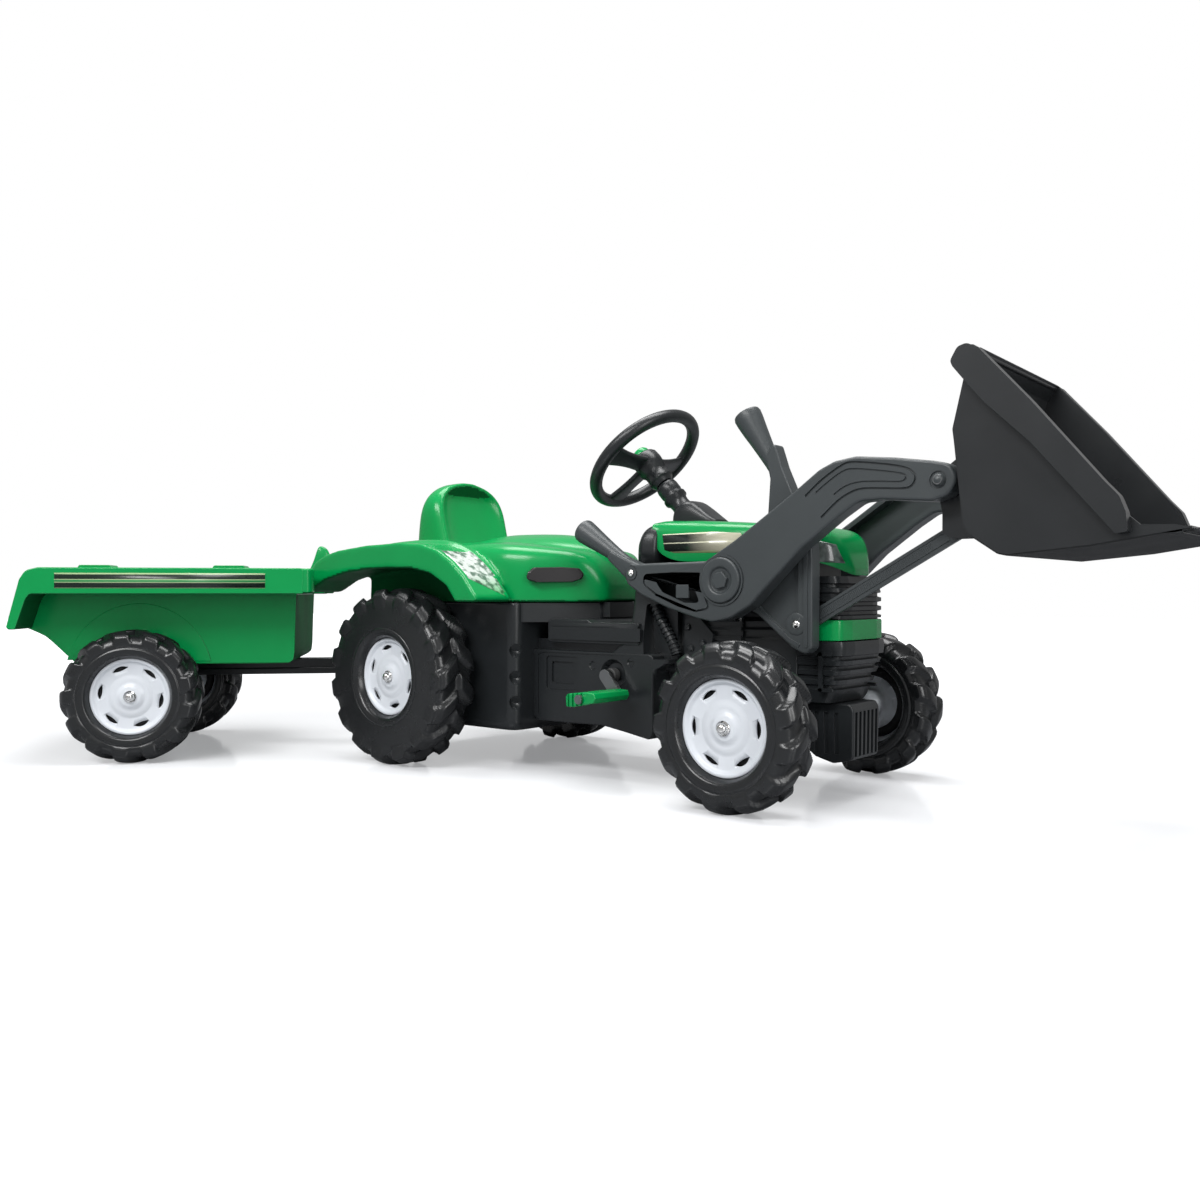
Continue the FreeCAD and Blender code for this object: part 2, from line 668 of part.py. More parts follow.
COLUMN_LOW = -432.0      # lower end of the column
CRANK_PIN_X = -91.7      # pin that reaches into the tie rod's middle eye
node("steering_column", fuse("column_fuse", [
    post("column_rod", "column_r", COLUMN_LOW, -12.5),
    box("column_arm", -98, 8, -6.5, 6.5, COLUMN_LOW, COLUMN_LOW + 6),
    cylinder("column_pin", 3.5, (CRANK_PIN_X, 0, COLUMN_LOW - 18),
             (CRANK_PIN_X, 0, COLUMN_LOW + 1)),
]), STEER)

# Sleeve and foot that carry the column on top of the hood.
sleeve = post("sleeve_tube", 16.0, -130, -63)
collar = post("sleeve_collar", 20.0, -92, -84)
sleeve_bore = post("sleeve_bore", dim("column_r") + run_gap, -200, -50)
for solid in (sleeve, collar, sleeve_bore):
    solid.Placement = COLUMN.multiply(solid.Placement)
foot = Piece("column_foot")
foot.pad_across(28, [(447, 414), (520, 413.6), (512, 428), (478, 446), (447, 430)])
housing = fuse("column_housing_fuse", [sleeve, collar, foot.body])
node("column_housing", cut("column_housing_cut", housing, sleeve_bore))

# ---------------------------------------------------------- pedals and drive
crank_x, crank_z = dim("crank_x"), dim("crank_z")
crank = (crank_x, crank_z)
throw_x, throw_z = dim("crank_throw_x"), dim("crank_throw_z")
# (X, Z) of the pedal spindle on each side.
SPINDLES = {-1: (crank_x + throw_x, crank_z + throw_z),
            1: (crank_x - throw_x, crank_z - throw_z)}
crank_arms, spindles, spindle_caps = [], [], []
for side_name, side in SIDES:
    arm = Piece("crank_arm_" + side_name)
    arm.pad("XZ", *span(side, 132, 140), belt(crank, 10.0, SPINDLES[side], 9.0))
    crank_arms.append(arm.body)
    spindles.append(cross_rod("spindle_" + side_name, "spindle_r", *SPINDLES[side],
                              *span(side, 134, 229)))
    spindle_caps.append(cross_rod("spindle_cap_" + side_name[0], 7.0, *SPINDLES[side],
                                  *span(side, 228, 232)))
crank_shaft = cross_rod("crank_shaft", "crank_shaft_r", crank_x, crank_z, -134, 134)
node("crankset", fuse("crankset_fuse", [crank_shaft] + crank_arms + spindles + spindle_caps))


def sprocket(name, teeth, radius, centre, bore_r):
    """Toothed disc with a hub collar on its left side."""
    low, high = -63, -57
    points = []
    for i in range(teeth):
        # (radius, share of the tooth pitch) of a tooth's four corners
        for r, share in ((radius - 4, -0.32), (radius, -0.12), (radius, 0.12),
                         (radius - 4, 0.32)):
            angle = 2 * math.pi * (i + share) / teeth
            points.append((centre[0] + r * math.cos(angle), centre[1] + r * math.sin(angle)))
    piece = Piece(name)
    bore = circle(*centre, bore_r)
    piece.pad("XZ", low, high, points, bore)
    piece.pad("XZ", high - 0.5, high + 8, circle(*centre, bore_r + 6), bore)
    node(name, piece.body)


rear_axle = (0, rear_r)
sprocket("chainring", 16, 36.0, crank, dim("crank_shaft_r") + FIT_GAP)
sprocket("rear_sprocket", 11, 25.0, rear_axle, axle_rear_r + FIT_GAP)
chain = Piece("drive_chain")
chain.pad("XZ", -64, -56, belt(rear_axle, 32.0, crank, 43.0), belt(rear_axle, 26.0, crank, 37.0))
node("drive_chain", chain.body)

# (X, Z) from the spindle; the thick end is to the rear on the right pedal,
# and the left pedal is turned by half a turn.
PEDAL_OUTLINE = [(-28, -13), (-16, -12), (24, -5), (28, 2), (26, 10), (12, 12), (-26, 8),
                 (-29, 2)]
for side_name, side in SIDES:
    x, z = SPINDLES[side]
    pedal = Piece(side_name + "_pedal")
    pedal.pad("XZ", *span(side, 142, 226),
              [(x - side * dx, z - side * dz) for dx, dz in PEDAL_OUTLINE],
              circle(x, z, dim("spindle_r") + run_gap))
    node(side_name + "_pedal", pedal.body)

rear_axle_end = rear_face + AXLE_REACH
node("rear_axle", cross_rod("rear_axle_rod", "axle_rear_r", *rear_axle,
                            -rear_axle_end, rear_axle_end))
for name, short, shaft_r, centre, inner, outer in (
        ("rear_axle_bushes", "rear_bush", axle_rear_r, rear_axle, 158, 172),
        ("crank_bushes", "crank_bush", dim("crank_shaft_r"), crank, 112, 126)):
    node(name, group(short + "_pair", [
        tube(short + "_" + side_name[0] + "%s", bearing_r - LOOSE_GAP, shaft_r + run_gap,
             *centre, *span(side, inner, outer))
        for side_name, side in SIDES]))

# -------------------------------------------------------------------- loader
pivot = (dim("pivot_x"), dim("pivot_z"))
link_rear = (dim("link_rear_x"), dim("link_rear_z"))
link_front = (dim("link_front_x"), dim("link_front_z"))
pivot_run = circle("pivot_x", "pivot_z", dim("pivot_shaft_r") + run_gap)
bucket_rod_hole = circle("bucket_x", "bucket_z", dim("bucket_rod_r") + FIT_GAP)

node("loader_pivot_shaft", cross_rod("pivot_shaft", "pivot_shaft_r", *pivot, -147, 147))
node("pivot_washers", group("washer_pair", [
    tube("washer%s_" + side_name[0], 33.0, pivot_bore_r, *pivot, *span(side, 142.6, 149))
    for side_name, side in SIDES]))

arm_outline = [
    (448, 343), (588, 345), (640, 375), (700, 415), (740, 442), (775, 466), (795, 475),
    (825, 479), (880, 473), (930, 465), (955, 458), (963, 440), (955, 422), (930, 414),
    (862, 420), (830, 419), (800, 400), (744, 359), (690, 306), (664, 280), (632, 262),
    (600, 256), (570, 262), (520, 276), (470, 296), (444, 314), (437, 330)]
# Recess, open towards the machine's middle plane.
arm_recess = [
    (690, 402), (738, 434), (780, 461), (800, 468), (825, 471), (905, 463), (905, 424),
    (862, 427), (828, 426), (796, 406), (740, 366), (700, 330)]
arm_in, arm_out = dim("arm_in"), dim("arm_out")
for side_name, side in SIDES:
    arm = Piece("loader_arm_" + side_name)
    arm.pad("XZ", *span(side, "arm_in", "arm_out"), arm_outline)
    for hole in (pivot_run, bucket_rod_hole):
        arm.pocket("XZ", *span(side, arm_in - 1, arm_out + 1), hole)
    arm.pocket("XZ", *span(side, arm_in - 1, arm_out - 6), arm_recess)
    node("loader_arm_" + side_name, arm.body)
node("arm_cross_tube", cross_rod("cross_tube", 9.0, 868, 444, -109.5, 109.5))
node("lift_handle", turned(
    "lift_grip",
    [(0, 0), (10.5, 0), (12.5, 39), (19, 100), (18.5, 106), (13, 109), (0, 109)],
    (433, -126, 344.8), (340, -126, 401.1)))
node("handle_bolt", cross_rod("handle_bolt_head", 5.0, 452, 329, -146, -142.3))

# Lever plate on the pivot shaft, inside the right arm, with a grip on top.
lever = Piece("tilt_lever_plate")
lever.pad("XZ", "-lever_out", "-lever_in", [
    (674, 405), (677, 460), (667, 498), (682, 516), (690, 492), (706, 444), (738, 385),
    (742, 345), (742, 222), (732, 212), (712, 222), (655, 268), (620, 284), (596, 292),
    (584, 317), (594, 341), (617, 350), (640, 365)])
lever.pocket("XZ", -110, -80, pivot_run)
lever.pocket("XZ", -110, -80,
             circle("link_rear_x", "link_rear_z", dim("link_bolt_r") + FIT_GAP))
tilt_grip = turned(
    "tilt_grip",
    [(0, 0), (9, 0), (12, 58), (20.5, 127), (20, 132), (14, 135), (0, 135)],
    (697, -95, 445), (629, -95, 562.3))
node("tilt_lever", fuse("tilt_lever_fuse", [lever.body, tilt_grip]))
node("link_bolt", fuse("link_bolt_fuse", [
    cross_rod("link_bolt_shank", "link_bolt_r", *link_rear, -109, -73.5),
    cross_rod("link_bolt_head", 7.0, *link_rear, -109.6, -108.1)]))

# Flat link: round eye on the lever's bolt, elongated eye on the bucket's pin.
link_length = math.hypot(link_front[0] - link_rear[0], link_front[1] - link_rear[1])
along_x = (link_front[0] - link_rear[0]) / link_length
along_z = (link_front[1] - link_rear[1]) / link_length


def past_front(distance):
    """Point on the link's line, beyond its front pin."""
    return (link_front[0] + distance * along_x, link_front[1] + distance * along_z)


link = Piece("link_bar")
link.pad("XZ", "-link_out", "-link_in", belt(link_rear, 11.0, past_front(3), 11.0))
link.pocket("XZ", -82, -70, circle("link_rear_x", "link_rear_z", dim("link_bolt_r") + run_gap))
link.pocket("XZ", -82, -70, belt(past_front(-6.5), 6.2, past_front(6.5), 6.2))
node("link_bar", link.body)

# -------------------------------------------------------------------- bucket
# Open-mouthed shell with a wider rim on both sides and lugs on its back.
bucket_shell = [(993, 597), (975, 580), (962, 520), (961, 484), (970, 410), (979, 366),
                (1024, 341), (1140, 352), (1228, 368), (1232, 376)]
bucket_cavity = [(1003, 598), (979, 576), (966, 519), (965, 485), (974, 411), (982, 369),
                 (1025, 345.5), (1140, 356), (1227, 372), (1260, 380), (1100, 600)]
bucket_rim = [(993, 597), (975, 585), (966, 556), (988, 548), (1010, 552), (1140, 392),
              (1150, 366), (1200, 368), (1196, 384)]
rim_cavity = [(1001, 598), (1020, 556), (1148, 398), (1158, 371), (1206, 372), (1230, 380),
              (1100, 600)]
rod_lug = [(964, 482), (940, 462), (924, 448), (924, 430), (930, 400), (930, 376),
           (942, 368), (972, 366), (976, 400)]
link_lug = [(964, 430), (930, 400), (930, 376), (942, 368), (974, 366), (976, 400)]
bucket = Piece("bucket")
bucket.pad_across("bucket_half", bucket_shell)
for side in (-1, 1):
    bucket.pad("XZ", *span(side, "bucket_half", "bucket_rim_half"), bucket_rim)
bucket.pocket_across(dim("bucket_half") - wall, bucket_cavity)
for side in (-1, 1):
    bucket.pocket("XZ", *span(side, 150, dim("bucket_rim_half") - wall), rim_cavity)
for side in (-1, 1):
    bucket.pad("XZ", *span(side, 100.5, 108.5), rod_lug)
bucket.pad("XZ", -92, -82, link_lug)
bucket.pad("XZ", -83, -66, circle("link_front_x", "link_front_z", 5.0))
bucket.pocket_across(110, bucket_rod_hole)
node("bucket", bucket.body)
node("bucket_pivot_rod", cross_rod("bucket_rod", "bucket_rod_r",
                                   dim("bucket_x"), dim("bucket_z"), -146, 146))

# --------------------------------------------------------------------- hitch
bracket = Piece("hitch_bracket")
bracket.pad("XY", 128, 162, rect(-216, -151, -22, 22))
bracket.pocket_across(25, rect(-220, -160, 134, 156))
bracket.pocket("XY", 120, 170, circle("hitch_x", 0, dim("hitch_pin_r") + LOOSE_GAP))
node("hitch_bracket", bracket.body)
node("hitch_pin", fuse("hitch_pin_fuse", [
    cylinder("hitch_pin_rod", "hitch_pin_r", (hitch.x, 0, 122), (hitch.x, 0, 166)),
    cylinder("hitch_pin_head", 11.0, (hitch.x, 0, 162.3), (hitch.x, 0, 170))]))

# ------------------------------------------------------------------- trailer
# Drawbar with a hitch eye, and a cross beam hollowed from below.
FRAME_BOTTOM, FRAME_TOP, EYE_TOP = 138, 169.9, 152
frame = Piece("trailer_frame")
frame.pad("XY", FRAME_BOTTOM, FRAME_TOP,
          [(-725, -20), (-250, -20), (-232, -13), (-232, 13), (-250, 20), (-725, 20)])
frame.pad("XY", FRAME_BOTTOM, EYE_TOP, circle("hitch_x", 0, 16.0))
frame.pad("XY", FRAME_BOTTOM, EYE_TOP, rect(-240, -195, -13, 13))
frame.pad("XY", 104, FRAME_TOP, rect(trailer_x - 15.5, trailer_x + 15.5, -150, 150))
frame.pocket("XY", 130, 160, circle("hitch_x", 0, dim("hitch_pin_r") + run_gap))
for side in (-1, 1):
    frame.pocket("XY", 100, 160,
                 rect(trailer_x - 11.5, trailer_x + 11.5, *span(side, 24, 142)))
frame.pocket_across(160, circle("trailer_axle_x", "front_tyre_r", axle_small_r + FIT_GAP))
node("trailer_frame", frame.body, TRAIL)

trailer_axle_end = trailer_face + AXLE_REACH
axle_parts = [cross_rod("trailer_axle_rod", "axle_small_r", trailer_x, front_r,
                        -trailer_axle_end, trailer_axle_end)]
for side_name, side in SIDES:
    axle_parts.append(cross_rod("trailer_collar_" + side_name[0], 10.0, trailer_x, front_r,
                                *span(side, 150.2, 173.5)))
node("trailer_axle", fuse("trailer_axle_fuse", axle_parts), TRAIL)

# Open tub with a wide hollow rim on both sides and a hook-shaped rib in front.
tub_body = [(-432, 170), (-427, 343), (-858, 343), (-893, 239), (-854, 219), (-805, 170)]
tub_cavity = [(-436.1, 175), (-431.3, 350), (-880, 350), (-905, 241), (-852, 224),
              (-803, 175)]
tub_rim = [(-408, 297), (-406, 343), (-858, 343), (-872, 325), (-895, 238), (-884, 236),
           (-866, 297)]
tub_rim_cavity = [(-412, 290), (-410, 339), (-856, 339), (-868, 323), (-880, 290)]
tub_rib = [(-429, 343), (-428, 300), (-406, 300), (-366, 345), (-364, 380), (-376, 396),
           (-400, 396), (-412, 380)]
skin = dim("tub_skin")
tub = Piece("trailer_tub")
tub.pad_across("tub_half", tub_body)
for side in (-1, 1):
    tub.pad("XZ", *span(side, "tub_half", "tub_rim_half"), tub_rim)
tub.pocket_across(dim("tub_half") - skin, tub_cavity)
for side in (-1, 1):
    tub.pocket("XZ", *span(side, dim("tub_half") + skin, dim("tub_rim_half") - skin),
               tub_rim_cavity)
tub.pad_across(9, tub_rib)
node("trailer_tub", tub.body, TRAIL)

# ------------------------------------------------- placements, checks, export
doc.recompute()
for obj, placement in NODES.values():
    obj.Placement = placement.multiply(obj.Placement)
doc.recompute()

problems = []
for obj in doc.Objects:
    if "Invalid" in obj.State or "Error" in obj.State:
        problems.append("%s (%s) %s" % (obj.Name, obj.Label, obj.State))
for name, (obj, _) in NODES.items():
    if obj.Shape.isNull() or not obj.Shape.isValid() or not obj.Shape.Solids:
        problems.append("%s has no valid solid" % name)
if problems:
    raise RuntimeError("\n".join(problems))

os.makedirs("parts", exist_ok=True)
for name, (obj, _) in NODES.items():
    obj.Shape.exportStep("parts/%s.step" % name)
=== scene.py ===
import json
import math

import bpy
import bmesh
from mathutils.bvhtree import BVHTree
from mathutils import Matrix, Vector


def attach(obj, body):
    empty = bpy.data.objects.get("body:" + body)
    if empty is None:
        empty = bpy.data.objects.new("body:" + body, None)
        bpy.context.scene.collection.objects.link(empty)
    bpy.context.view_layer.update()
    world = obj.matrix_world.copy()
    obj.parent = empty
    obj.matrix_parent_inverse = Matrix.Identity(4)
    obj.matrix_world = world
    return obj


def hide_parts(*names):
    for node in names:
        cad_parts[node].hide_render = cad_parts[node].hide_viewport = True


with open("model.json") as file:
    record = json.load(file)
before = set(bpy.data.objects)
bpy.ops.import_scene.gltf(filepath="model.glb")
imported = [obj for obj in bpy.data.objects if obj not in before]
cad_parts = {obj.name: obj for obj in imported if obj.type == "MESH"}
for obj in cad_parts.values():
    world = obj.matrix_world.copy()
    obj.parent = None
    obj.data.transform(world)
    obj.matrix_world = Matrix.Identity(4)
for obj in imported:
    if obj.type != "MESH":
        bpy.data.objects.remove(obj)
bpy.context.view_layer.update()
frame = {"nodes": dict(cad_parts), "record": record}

# ------------------------------------------------------------------ frame
JOINTS = {j["name"]: j for j in frame["record"]["behaviour"]["joints"]}
LIFT = JOINTS["loader_lift"]["pos_m"]
HITCH = JOINTS["trailer_turn"]["pos_m"]
OX, OY = 0.617 - LIFT[0], -LIFT[1]
TH = math.atan2(-JOINTS["trailer_right_wheel_spin"]["axis"][0], JOINTS["trailer_right_wheel_spin"]["axis"][1])
TOWED = (Matrix.Translation(Vector((HITCH[0], HITCH[1], 0))) @ Matrix.Rotation(TH, 4, "Z")
         @ Matrix.Translation(Vector((0.2, 0, 0))))
BASE = Matrix.Translation(Vector((-OX, -OY, 0)))
MM = 0.001


# -------------------------------------------------------------- materials
def material(name, color, rough=0.4, metal=0.0, coat=0.0, grain=900.0, bump=0.03, vary=0.06, spec=0.5, streak=None):
    """Plastic or metal with moulding grain, gloss variation and a slight tone drift."""
    m = bpy.data.materials.new(name)
    m.use_nodes = True
    nt = m.node_tree
    nt.nodes.clear()
    out = nt.nodes.new("ShaderNodeOutputMaterial")
    bsdf = nt.nodes.new("ShaderNodeBsdfPrincipled")
    nt.links.new(bsdf.outputs[0], out.inputs[0])
    coord = nt.nodes.new("ShaderNodeTexCoord")
    n1 = nt.nodes.new("ShaderNodeTexNoise")
    n1.inputs["Scale"].default_value = 14.0
    n1.inputs["Detail"].default_value = 5.0
    nt.links.new(coord.outputs["Object"], n1.inputs["Vector"])
    ramp = nt.nodes.new("ShaderNodeMapRange")
    ramp.inputs["To Min"].default_value = max(0.02, rough - vary)
    ramp.inputs["To Max"].default_value = min(1.0, rough + vary)
    nt.links.new(n1.outputs[0], ramp.inputs[0])
    nt.links.new(ramp.outputs[0], bsdf.inputs["Roughness"])
    mix = nt.nodes.new("ShaderNodeMix")
    mix.data_type = "RGBA"
    mix.inputs["Factor"].default_value = 0.5
    a = [c * 0.94 for c in color] + [1.0]
    b = [min(1.0, c * 1.06 + 0.001) for c in color] + [1.0]
    mix.inputs[6].default_value = a
    mix.inputs[7].default_value = b
    nt.links.new(n1.outputs[0], mix.inputs["Factor"])
    nt.links.new(mix.outputs[2], bsdf.inputs["Base Color"])
    n2 = nt.nodes.new("ShaderNodeTexNoise")
    n2.inputs["Scale"].default_value = grain
    n2.inputs["Detail"].default_value = 3.0
    nt.links.new(coord.outputs["Object"], n2.inputs["Vector"])
    bp = nt.nodes.new("ShaderNodeBump")
    bp.inputs["Strength"].default_value = bump
    bp.inputs["Distance"].default_value = 0.001
    nt.links.new(n2.outputs[0], bp.inputs["Height"])
    nt.links.new(bp.outputs[0], bsdf.inputs["Normal"])
    bsdf.inputs["Metallic"].default_value = metal
    bsdf.inputs["Specular IOR Level"].default_value = spec
    if coat:
        bsdf.inputs["Coat Weight"].default_value = coat
        bsdf.inputs["Coat Roughness"].default_value = 0.12
    return m


GREEN = material("gloss_green", (0.0, 0.262, 0.062), 0.24, coat=0.10, bump=0.02, spec=0.30)
BLACK = material("satin_black", (0.0125, 0.0145, 0.016), 0.34, bump=0.08, grain=1400.0, spec=0.42)
ARM_BLACK = material("arm_black", (0.040, 0.0465, 0.049), 0.40, bump=0.10, grain=1400.0, spec=0.45)
DARK = material("gloss_black", (0.015, 0.0165, 0.018), 0.30, bump=0.03, coat=0.10, spec=0.45)
TYRE = material("tyre_black", (0.010, 0.011, 0.012), 0.27, bump=0.04, spec=0.50)
WHITE = material("rim_white", (0.66, 0.69, 0.73), 0.30, bump=0.02, spec=0.4)
CHROME = material("bright_nut", (0.80, 0.79, 0.77), 0.12, metal=1.0, bump=0.01, vary=0.04)
STEEL = material("steel_rod", (0.24, 0.245, 0.25), 0.30, metal=1.0, bump=0.05, grain=500.0)
INSERT = material("insert_black", (0.014, 0.012, 0.013), 0.30, bump=0.05, spec=0.5)
BUSH = material("bush_plastic", (0.05, 0.05, 0.05), 0.5, bump=0.05)
# near-black standing in for shade: used for the ring behind the rim slots
SHADE_BLACK_PAINT = material("painted_shade_black", (0.006, 0.006, 0.007), 0.7, bump=0.03)
BY_SLOT = {"green_plastic": GREEN, "black_plastic": BLACK, "bucket_plastic": DARK, "tyre_plastic": TYRE, "white_plastic": WHITE,
           "bright_nut": CHROME, "steel_rod": STEEL, "seat_insert_plastic": INSERT, "black_bush": BUSH}

SLOT_OF = {s["node"]: s["material_slot"] for s in frame["record"]["subparts"]}
BODY_OF = {n: b for b, ns in frame["record"]["behaviour"]["bodies"].items() for n in ns}


# ------------------------------------------------------------ mesh helpers
def link(obj):
    bpy.context.scene.collection.objects.link(obj)
    return obj


def mesh(name, verts, faces, mat, smooth=True):
    me = bpy.data.meshes.new(name)
    me.from_pydata([tuple(v) for v in verts], [], faces)
    me.validate()
    bm = bmesh.new()
    bm.from_mesh(me)
    bmesh.ops.recalc_face_normals(bm, faces=bm.faces)
    bm.to_mesh(me)
    bm.free()
    if smooth:
        me.polygons.foreach_set("use_smooth", [True] * len(me.polygons))
    me.materials.append(mat)
    return link(bpy.data.objects.new(name, me))


def area2(p):
    return sum(p[i][0] * p[(i + 1) % len(p)][1] - p[(i + 1) % len(p)][0] * p[i][1] for i in range(len(p)))


def rounded(pts, r, seg=5):
    """Polygon with its corners rounded by up to r."""
    out, n = [], len(pts)
    for i in range(n):
        p0, p1, p2 = Vector(pts[i - 1]).to_2d(), Vector(pts[i]).to_2d(), Vector(pts[(i + 1) % n]).to_2d()
        rr = r[i] if isinstance(r, (list, tuple)) else r
        a, b = p0 - p1, p2 - p1
        la, lb = a.length, b.length
        if la < 1e-6 or lb < 1e-6 or rr <= 0:
            out.append(tuple(p1))
            continue
        cosang = max(-1, min(1, a.dot(b) / la / lb))
        ang = math.acos(cosang)
        if ang > math.radians(176):
            out.append(tuple(p1))
            continue
        t = min(rr / math.tan(ang / 2), la * 0.48, lb * 0.48)
        q0, q1 = p1 + a / la * t, p1 + b / lb * t
        for k in range(seg + 1):
            u = k / seg
            out.append(tuple(q0 * (1 - u) ** 2 + p1 * 2 * u * (1 - u) + q1 * u * u))
    return out


def smooth_line(pts, n=8, closed=False):
    """Catmull-Rom through the points."""
    out, m = [], len(pts)
    last = m if closed else m - 1
    for i in range(last):
        p = [Vector(pts[(i + k) % m] if closed else pts[max(0, min(m - 1, i + k))]) for k in (-1, 0, 1, 2)]
        for k in range(n):
            t = k / n
            out.append(0.5 * ((2 * p[1]) + (p[2] - p[0]) * t + (2 * p[0] - 5 * p[1] + 4 * p[2] - p[3]) * t * t
                              + (3 * p[1] - p[0] - 3 * p[2] + p[3]) * t ** 3))
    if not closed:
        out.append(Vector(pts[-1]))
    return out


def bake(obj, *mods):
    """Applies modifiers to the mesh for good."""
    for kind, settings in mods:
        m = obj.modifiers.new(kind.lower(), kind)
        for k, v in settings.items():
            setattr(m, k, v)
    bpy.context.view_layer.update()
    dg = bpy.context.evaluated_depsgraph_get()
    me = bpy.data.meshes.new_from_object(obj.evaluated_get(dg))
    obj.modifiers.clear()
    obj.data = me
    return obj


def soften(obj, width, seg=3, angle=32):
    m = obj.modifiers.new("edge", "BEVEL")
    m.width = width * MM
    m.segments = seg
    m.limit_method = "ANGLE"
    m.angle_limit = math.radians(angle)
    m.harden_normals = False
    m.use_clamp_overlap = True
    w = obj.modifiers.new("normals", "WEIGHTED_NORMAL")
    w.keep_sharp = False
    w.weight = 60
    return obj


def place(obj, m=None):
    obj.data.transform(Matrix.Scale(MM, 4))
    obj.data.transform(m if m is not None else BASE)
    return obj


def prism(name, pts, y0, y1, mat, plane="XZ"):
    """Straight moulding: outline in a plane, from y0 to y1 across it."""
    n = len(pts)

    def v(p, h):
        if plane == "XZ":
            return (p[0], h, p[1])
        if plane == "XY":
            return (p[0], p[1], h)
        return (h, p[0], p[1])
    verts = [v(p, y0) for p in pts] + [v(p, y1) for p in pts]
    faces = [list(range(n)), list(range(2 * n - 1, n - 1, -1))]
    faces += [[i, (i + 1) % n, n + (i + 1) % n, n + i] for i in range(n)]
    return mesh(name, verts, faces, mat)


def boxy(name, x0, x1, y0, y1, z0, z1, mat):
    return prism(name, [(x0, z0), (x1, z0), (x1, z1), (x0, z1)], y0, y1, mat)


def rings(name, loops, mat, cap=True, closed=False):
    """Skin over a row of closed loops with the same number of points."""
    n = len(loops[0])
    verts = [tuple(p) for l in loops for p in l]
    faces = []
    m = len(loops)
    for i in range(m if closed else m - 1):
        j = (i + 1) % m
        for k in range(n):
            faces.append([i * n + k, i * n + (k + 1) % n, j * n + (k + 1) % n, j * n + k])
    if cap and not closed:
        faces.append(list(range(n)))
        faces.append([(m - 1) * n + k for k in range(n - 1, -1, -1)])
    return mesh(name, verts, faces, mat)


def basis(d):
    d = Vector(d).normalized()
    a = Vector((0, 0, 1)) if abs(d.z) < 0.9 else Vector((1, 0, 0))
    u = d.cross(a).normalized()
    return d, u, d.cross(u).normalized()


def turned(name, profile, origin, axis, mat, seg=64, closed=False):
    """Revolved profile of (radius, distance along axis)."""
    d, u, w = basis(axis)
    o = Vector(origin)
    loops = []
    for k in range(seg):
        a = 2 * math.pi * k / seg
        e = u * math.cos(a) + w * math.sin(a)
        loops.append([o + d * h + e * r for r, h in profile])
    n = len(profile)
    verts = [p for l in loops for p in l]
    faces = []
    for k in range(seg):
        j = (k + 1) % seg
        for i in range(n if closed else n - 1):
            i2 = (i + 1) % n
            faces.append([k * n + i, k * n + i2, j * n + i2, j * n + i])
    obj = mesh(name, verts, faces, mat)
    bm = bmesh.new()
    bm.from_mesh(obj.data)
    bmesh.ops.remove_doubles(bm, verts=bm.verts, dist=1e-5)
    bmesh.ops.holes_fill(bm, edges=bm.edges, sides=seg)
    bmesh.ops.recalc_face_normals(bm, faces=bm.faces)
    bm.to_mesh(obj.data)
    bm.free()
    obj.data.polygons.foreach_set("use_smooth", [True] * len(obj.data.polygons))
    return obj


def tube(name, path, radii, mat, seg=20, flat=None):
    """Round bar along a path; flat squeezes it along one direction."""
    loops = []
    for i, p in enumerate(path):
        p = Vector(p)
        d = Vector(path[min(i + 1, len(path) - 1)]) - Vector(path[max(i - 1, 0)])
        d.normalize()
        side = Vector((0, 1, 0)) if abs(d.y) < 0.9 else Vector((0, 0, 1))
        u = side - d * side.dot(d)
        u.normalize()
        w = d.cross(u)
        r = radii[i] if isinstance(radii, (list, tuple)) else radii
        loops.append([p + (u * math.cos(2 * math.pi * k / seg) * (flat or 1.0) + w * math.sin(2 * math.pi * k / seg)) * r for k in range(seg)])
    return rings(name, loops, mat)


def volume(me):
    bm = bmesh.new()
    bm.from_mesh(me)
    v = bm.calc_volume()
    bm.free()
    return v


def carve(obj, *cutters):
    """Cuts each tool out of obj; a cut that would lose the piece is skipped."""
    for c in cutters:
        before = volume(obj.data)
        for solver in ("EXACT", "FAST"):
            m = obj.modifiers.new("carve", "BOOLEAN")
            m.operation = "DIFFERENCE"
            m.solver = solver
            m.object = c
            bpy.context.view_layer.update()
            dg = bpy.context.evaluated_depsgraph_get()
            me = bpy.data.meshes.new_from_object(obj.evaluated_get(dg))
            obj.modifiers.clear()
            after = volume(me)
            if 0.2 * before < after <= before * 1.0001:
                obj.data = me
                break
            print("carve skipped", obj.name, c.name, solver, before, after)
        bpy.data.objects.remove(c)
    return obj


def join(name, objs, mat=None):
    """One object from several, keeping their materials."""
    bm = bmesh.new()
    mats = []
    for o in objs:
        idx = []
        for s in o.data.materials:
            if s not in mats:
                mats.append(s)
            idx.append(mats.index(s))
        start = len(bm.faces)
        bm.from_mesh(o.data)
        bm.faces.ensure_lookup_table()
        for f in bm.faces[start:]:
            f.material_index = idx[f.material_index] if idx else 0
    me = bpy.data.meshes.new(name)
    bm.to_mesh(me)
    bm.free()
    for s in mats:
        me.materials.append(s)
    for o in objs:
        bpy.data.objects.remove(o)
    return link(bpy.data.objects.new(name, me))


def melt(obj, voxel, iters, factor=0.5):
    """Blends overlapping solids into one moulding with soft inner corners."""
    bake(obj, ("REMESH", {"mode": "VOXEL", "voxel_size": voxel, "use_smooth_shade": True}),
         ("SMOOTH", {"factor": factor, "iterations": iters}))
    return obj


def finish(obj, body, nodes=(), soft=None, seg=3, base=None, angle=32):
    place(obj, base)
    if soft:
        soften(obj, soft, seg, angle)
    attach(obj, body)
    if nodes:
        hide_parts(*nodes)
    return obj


def mirror_y(pts):
    return [(x, -y, z) for x, y, z in pts]


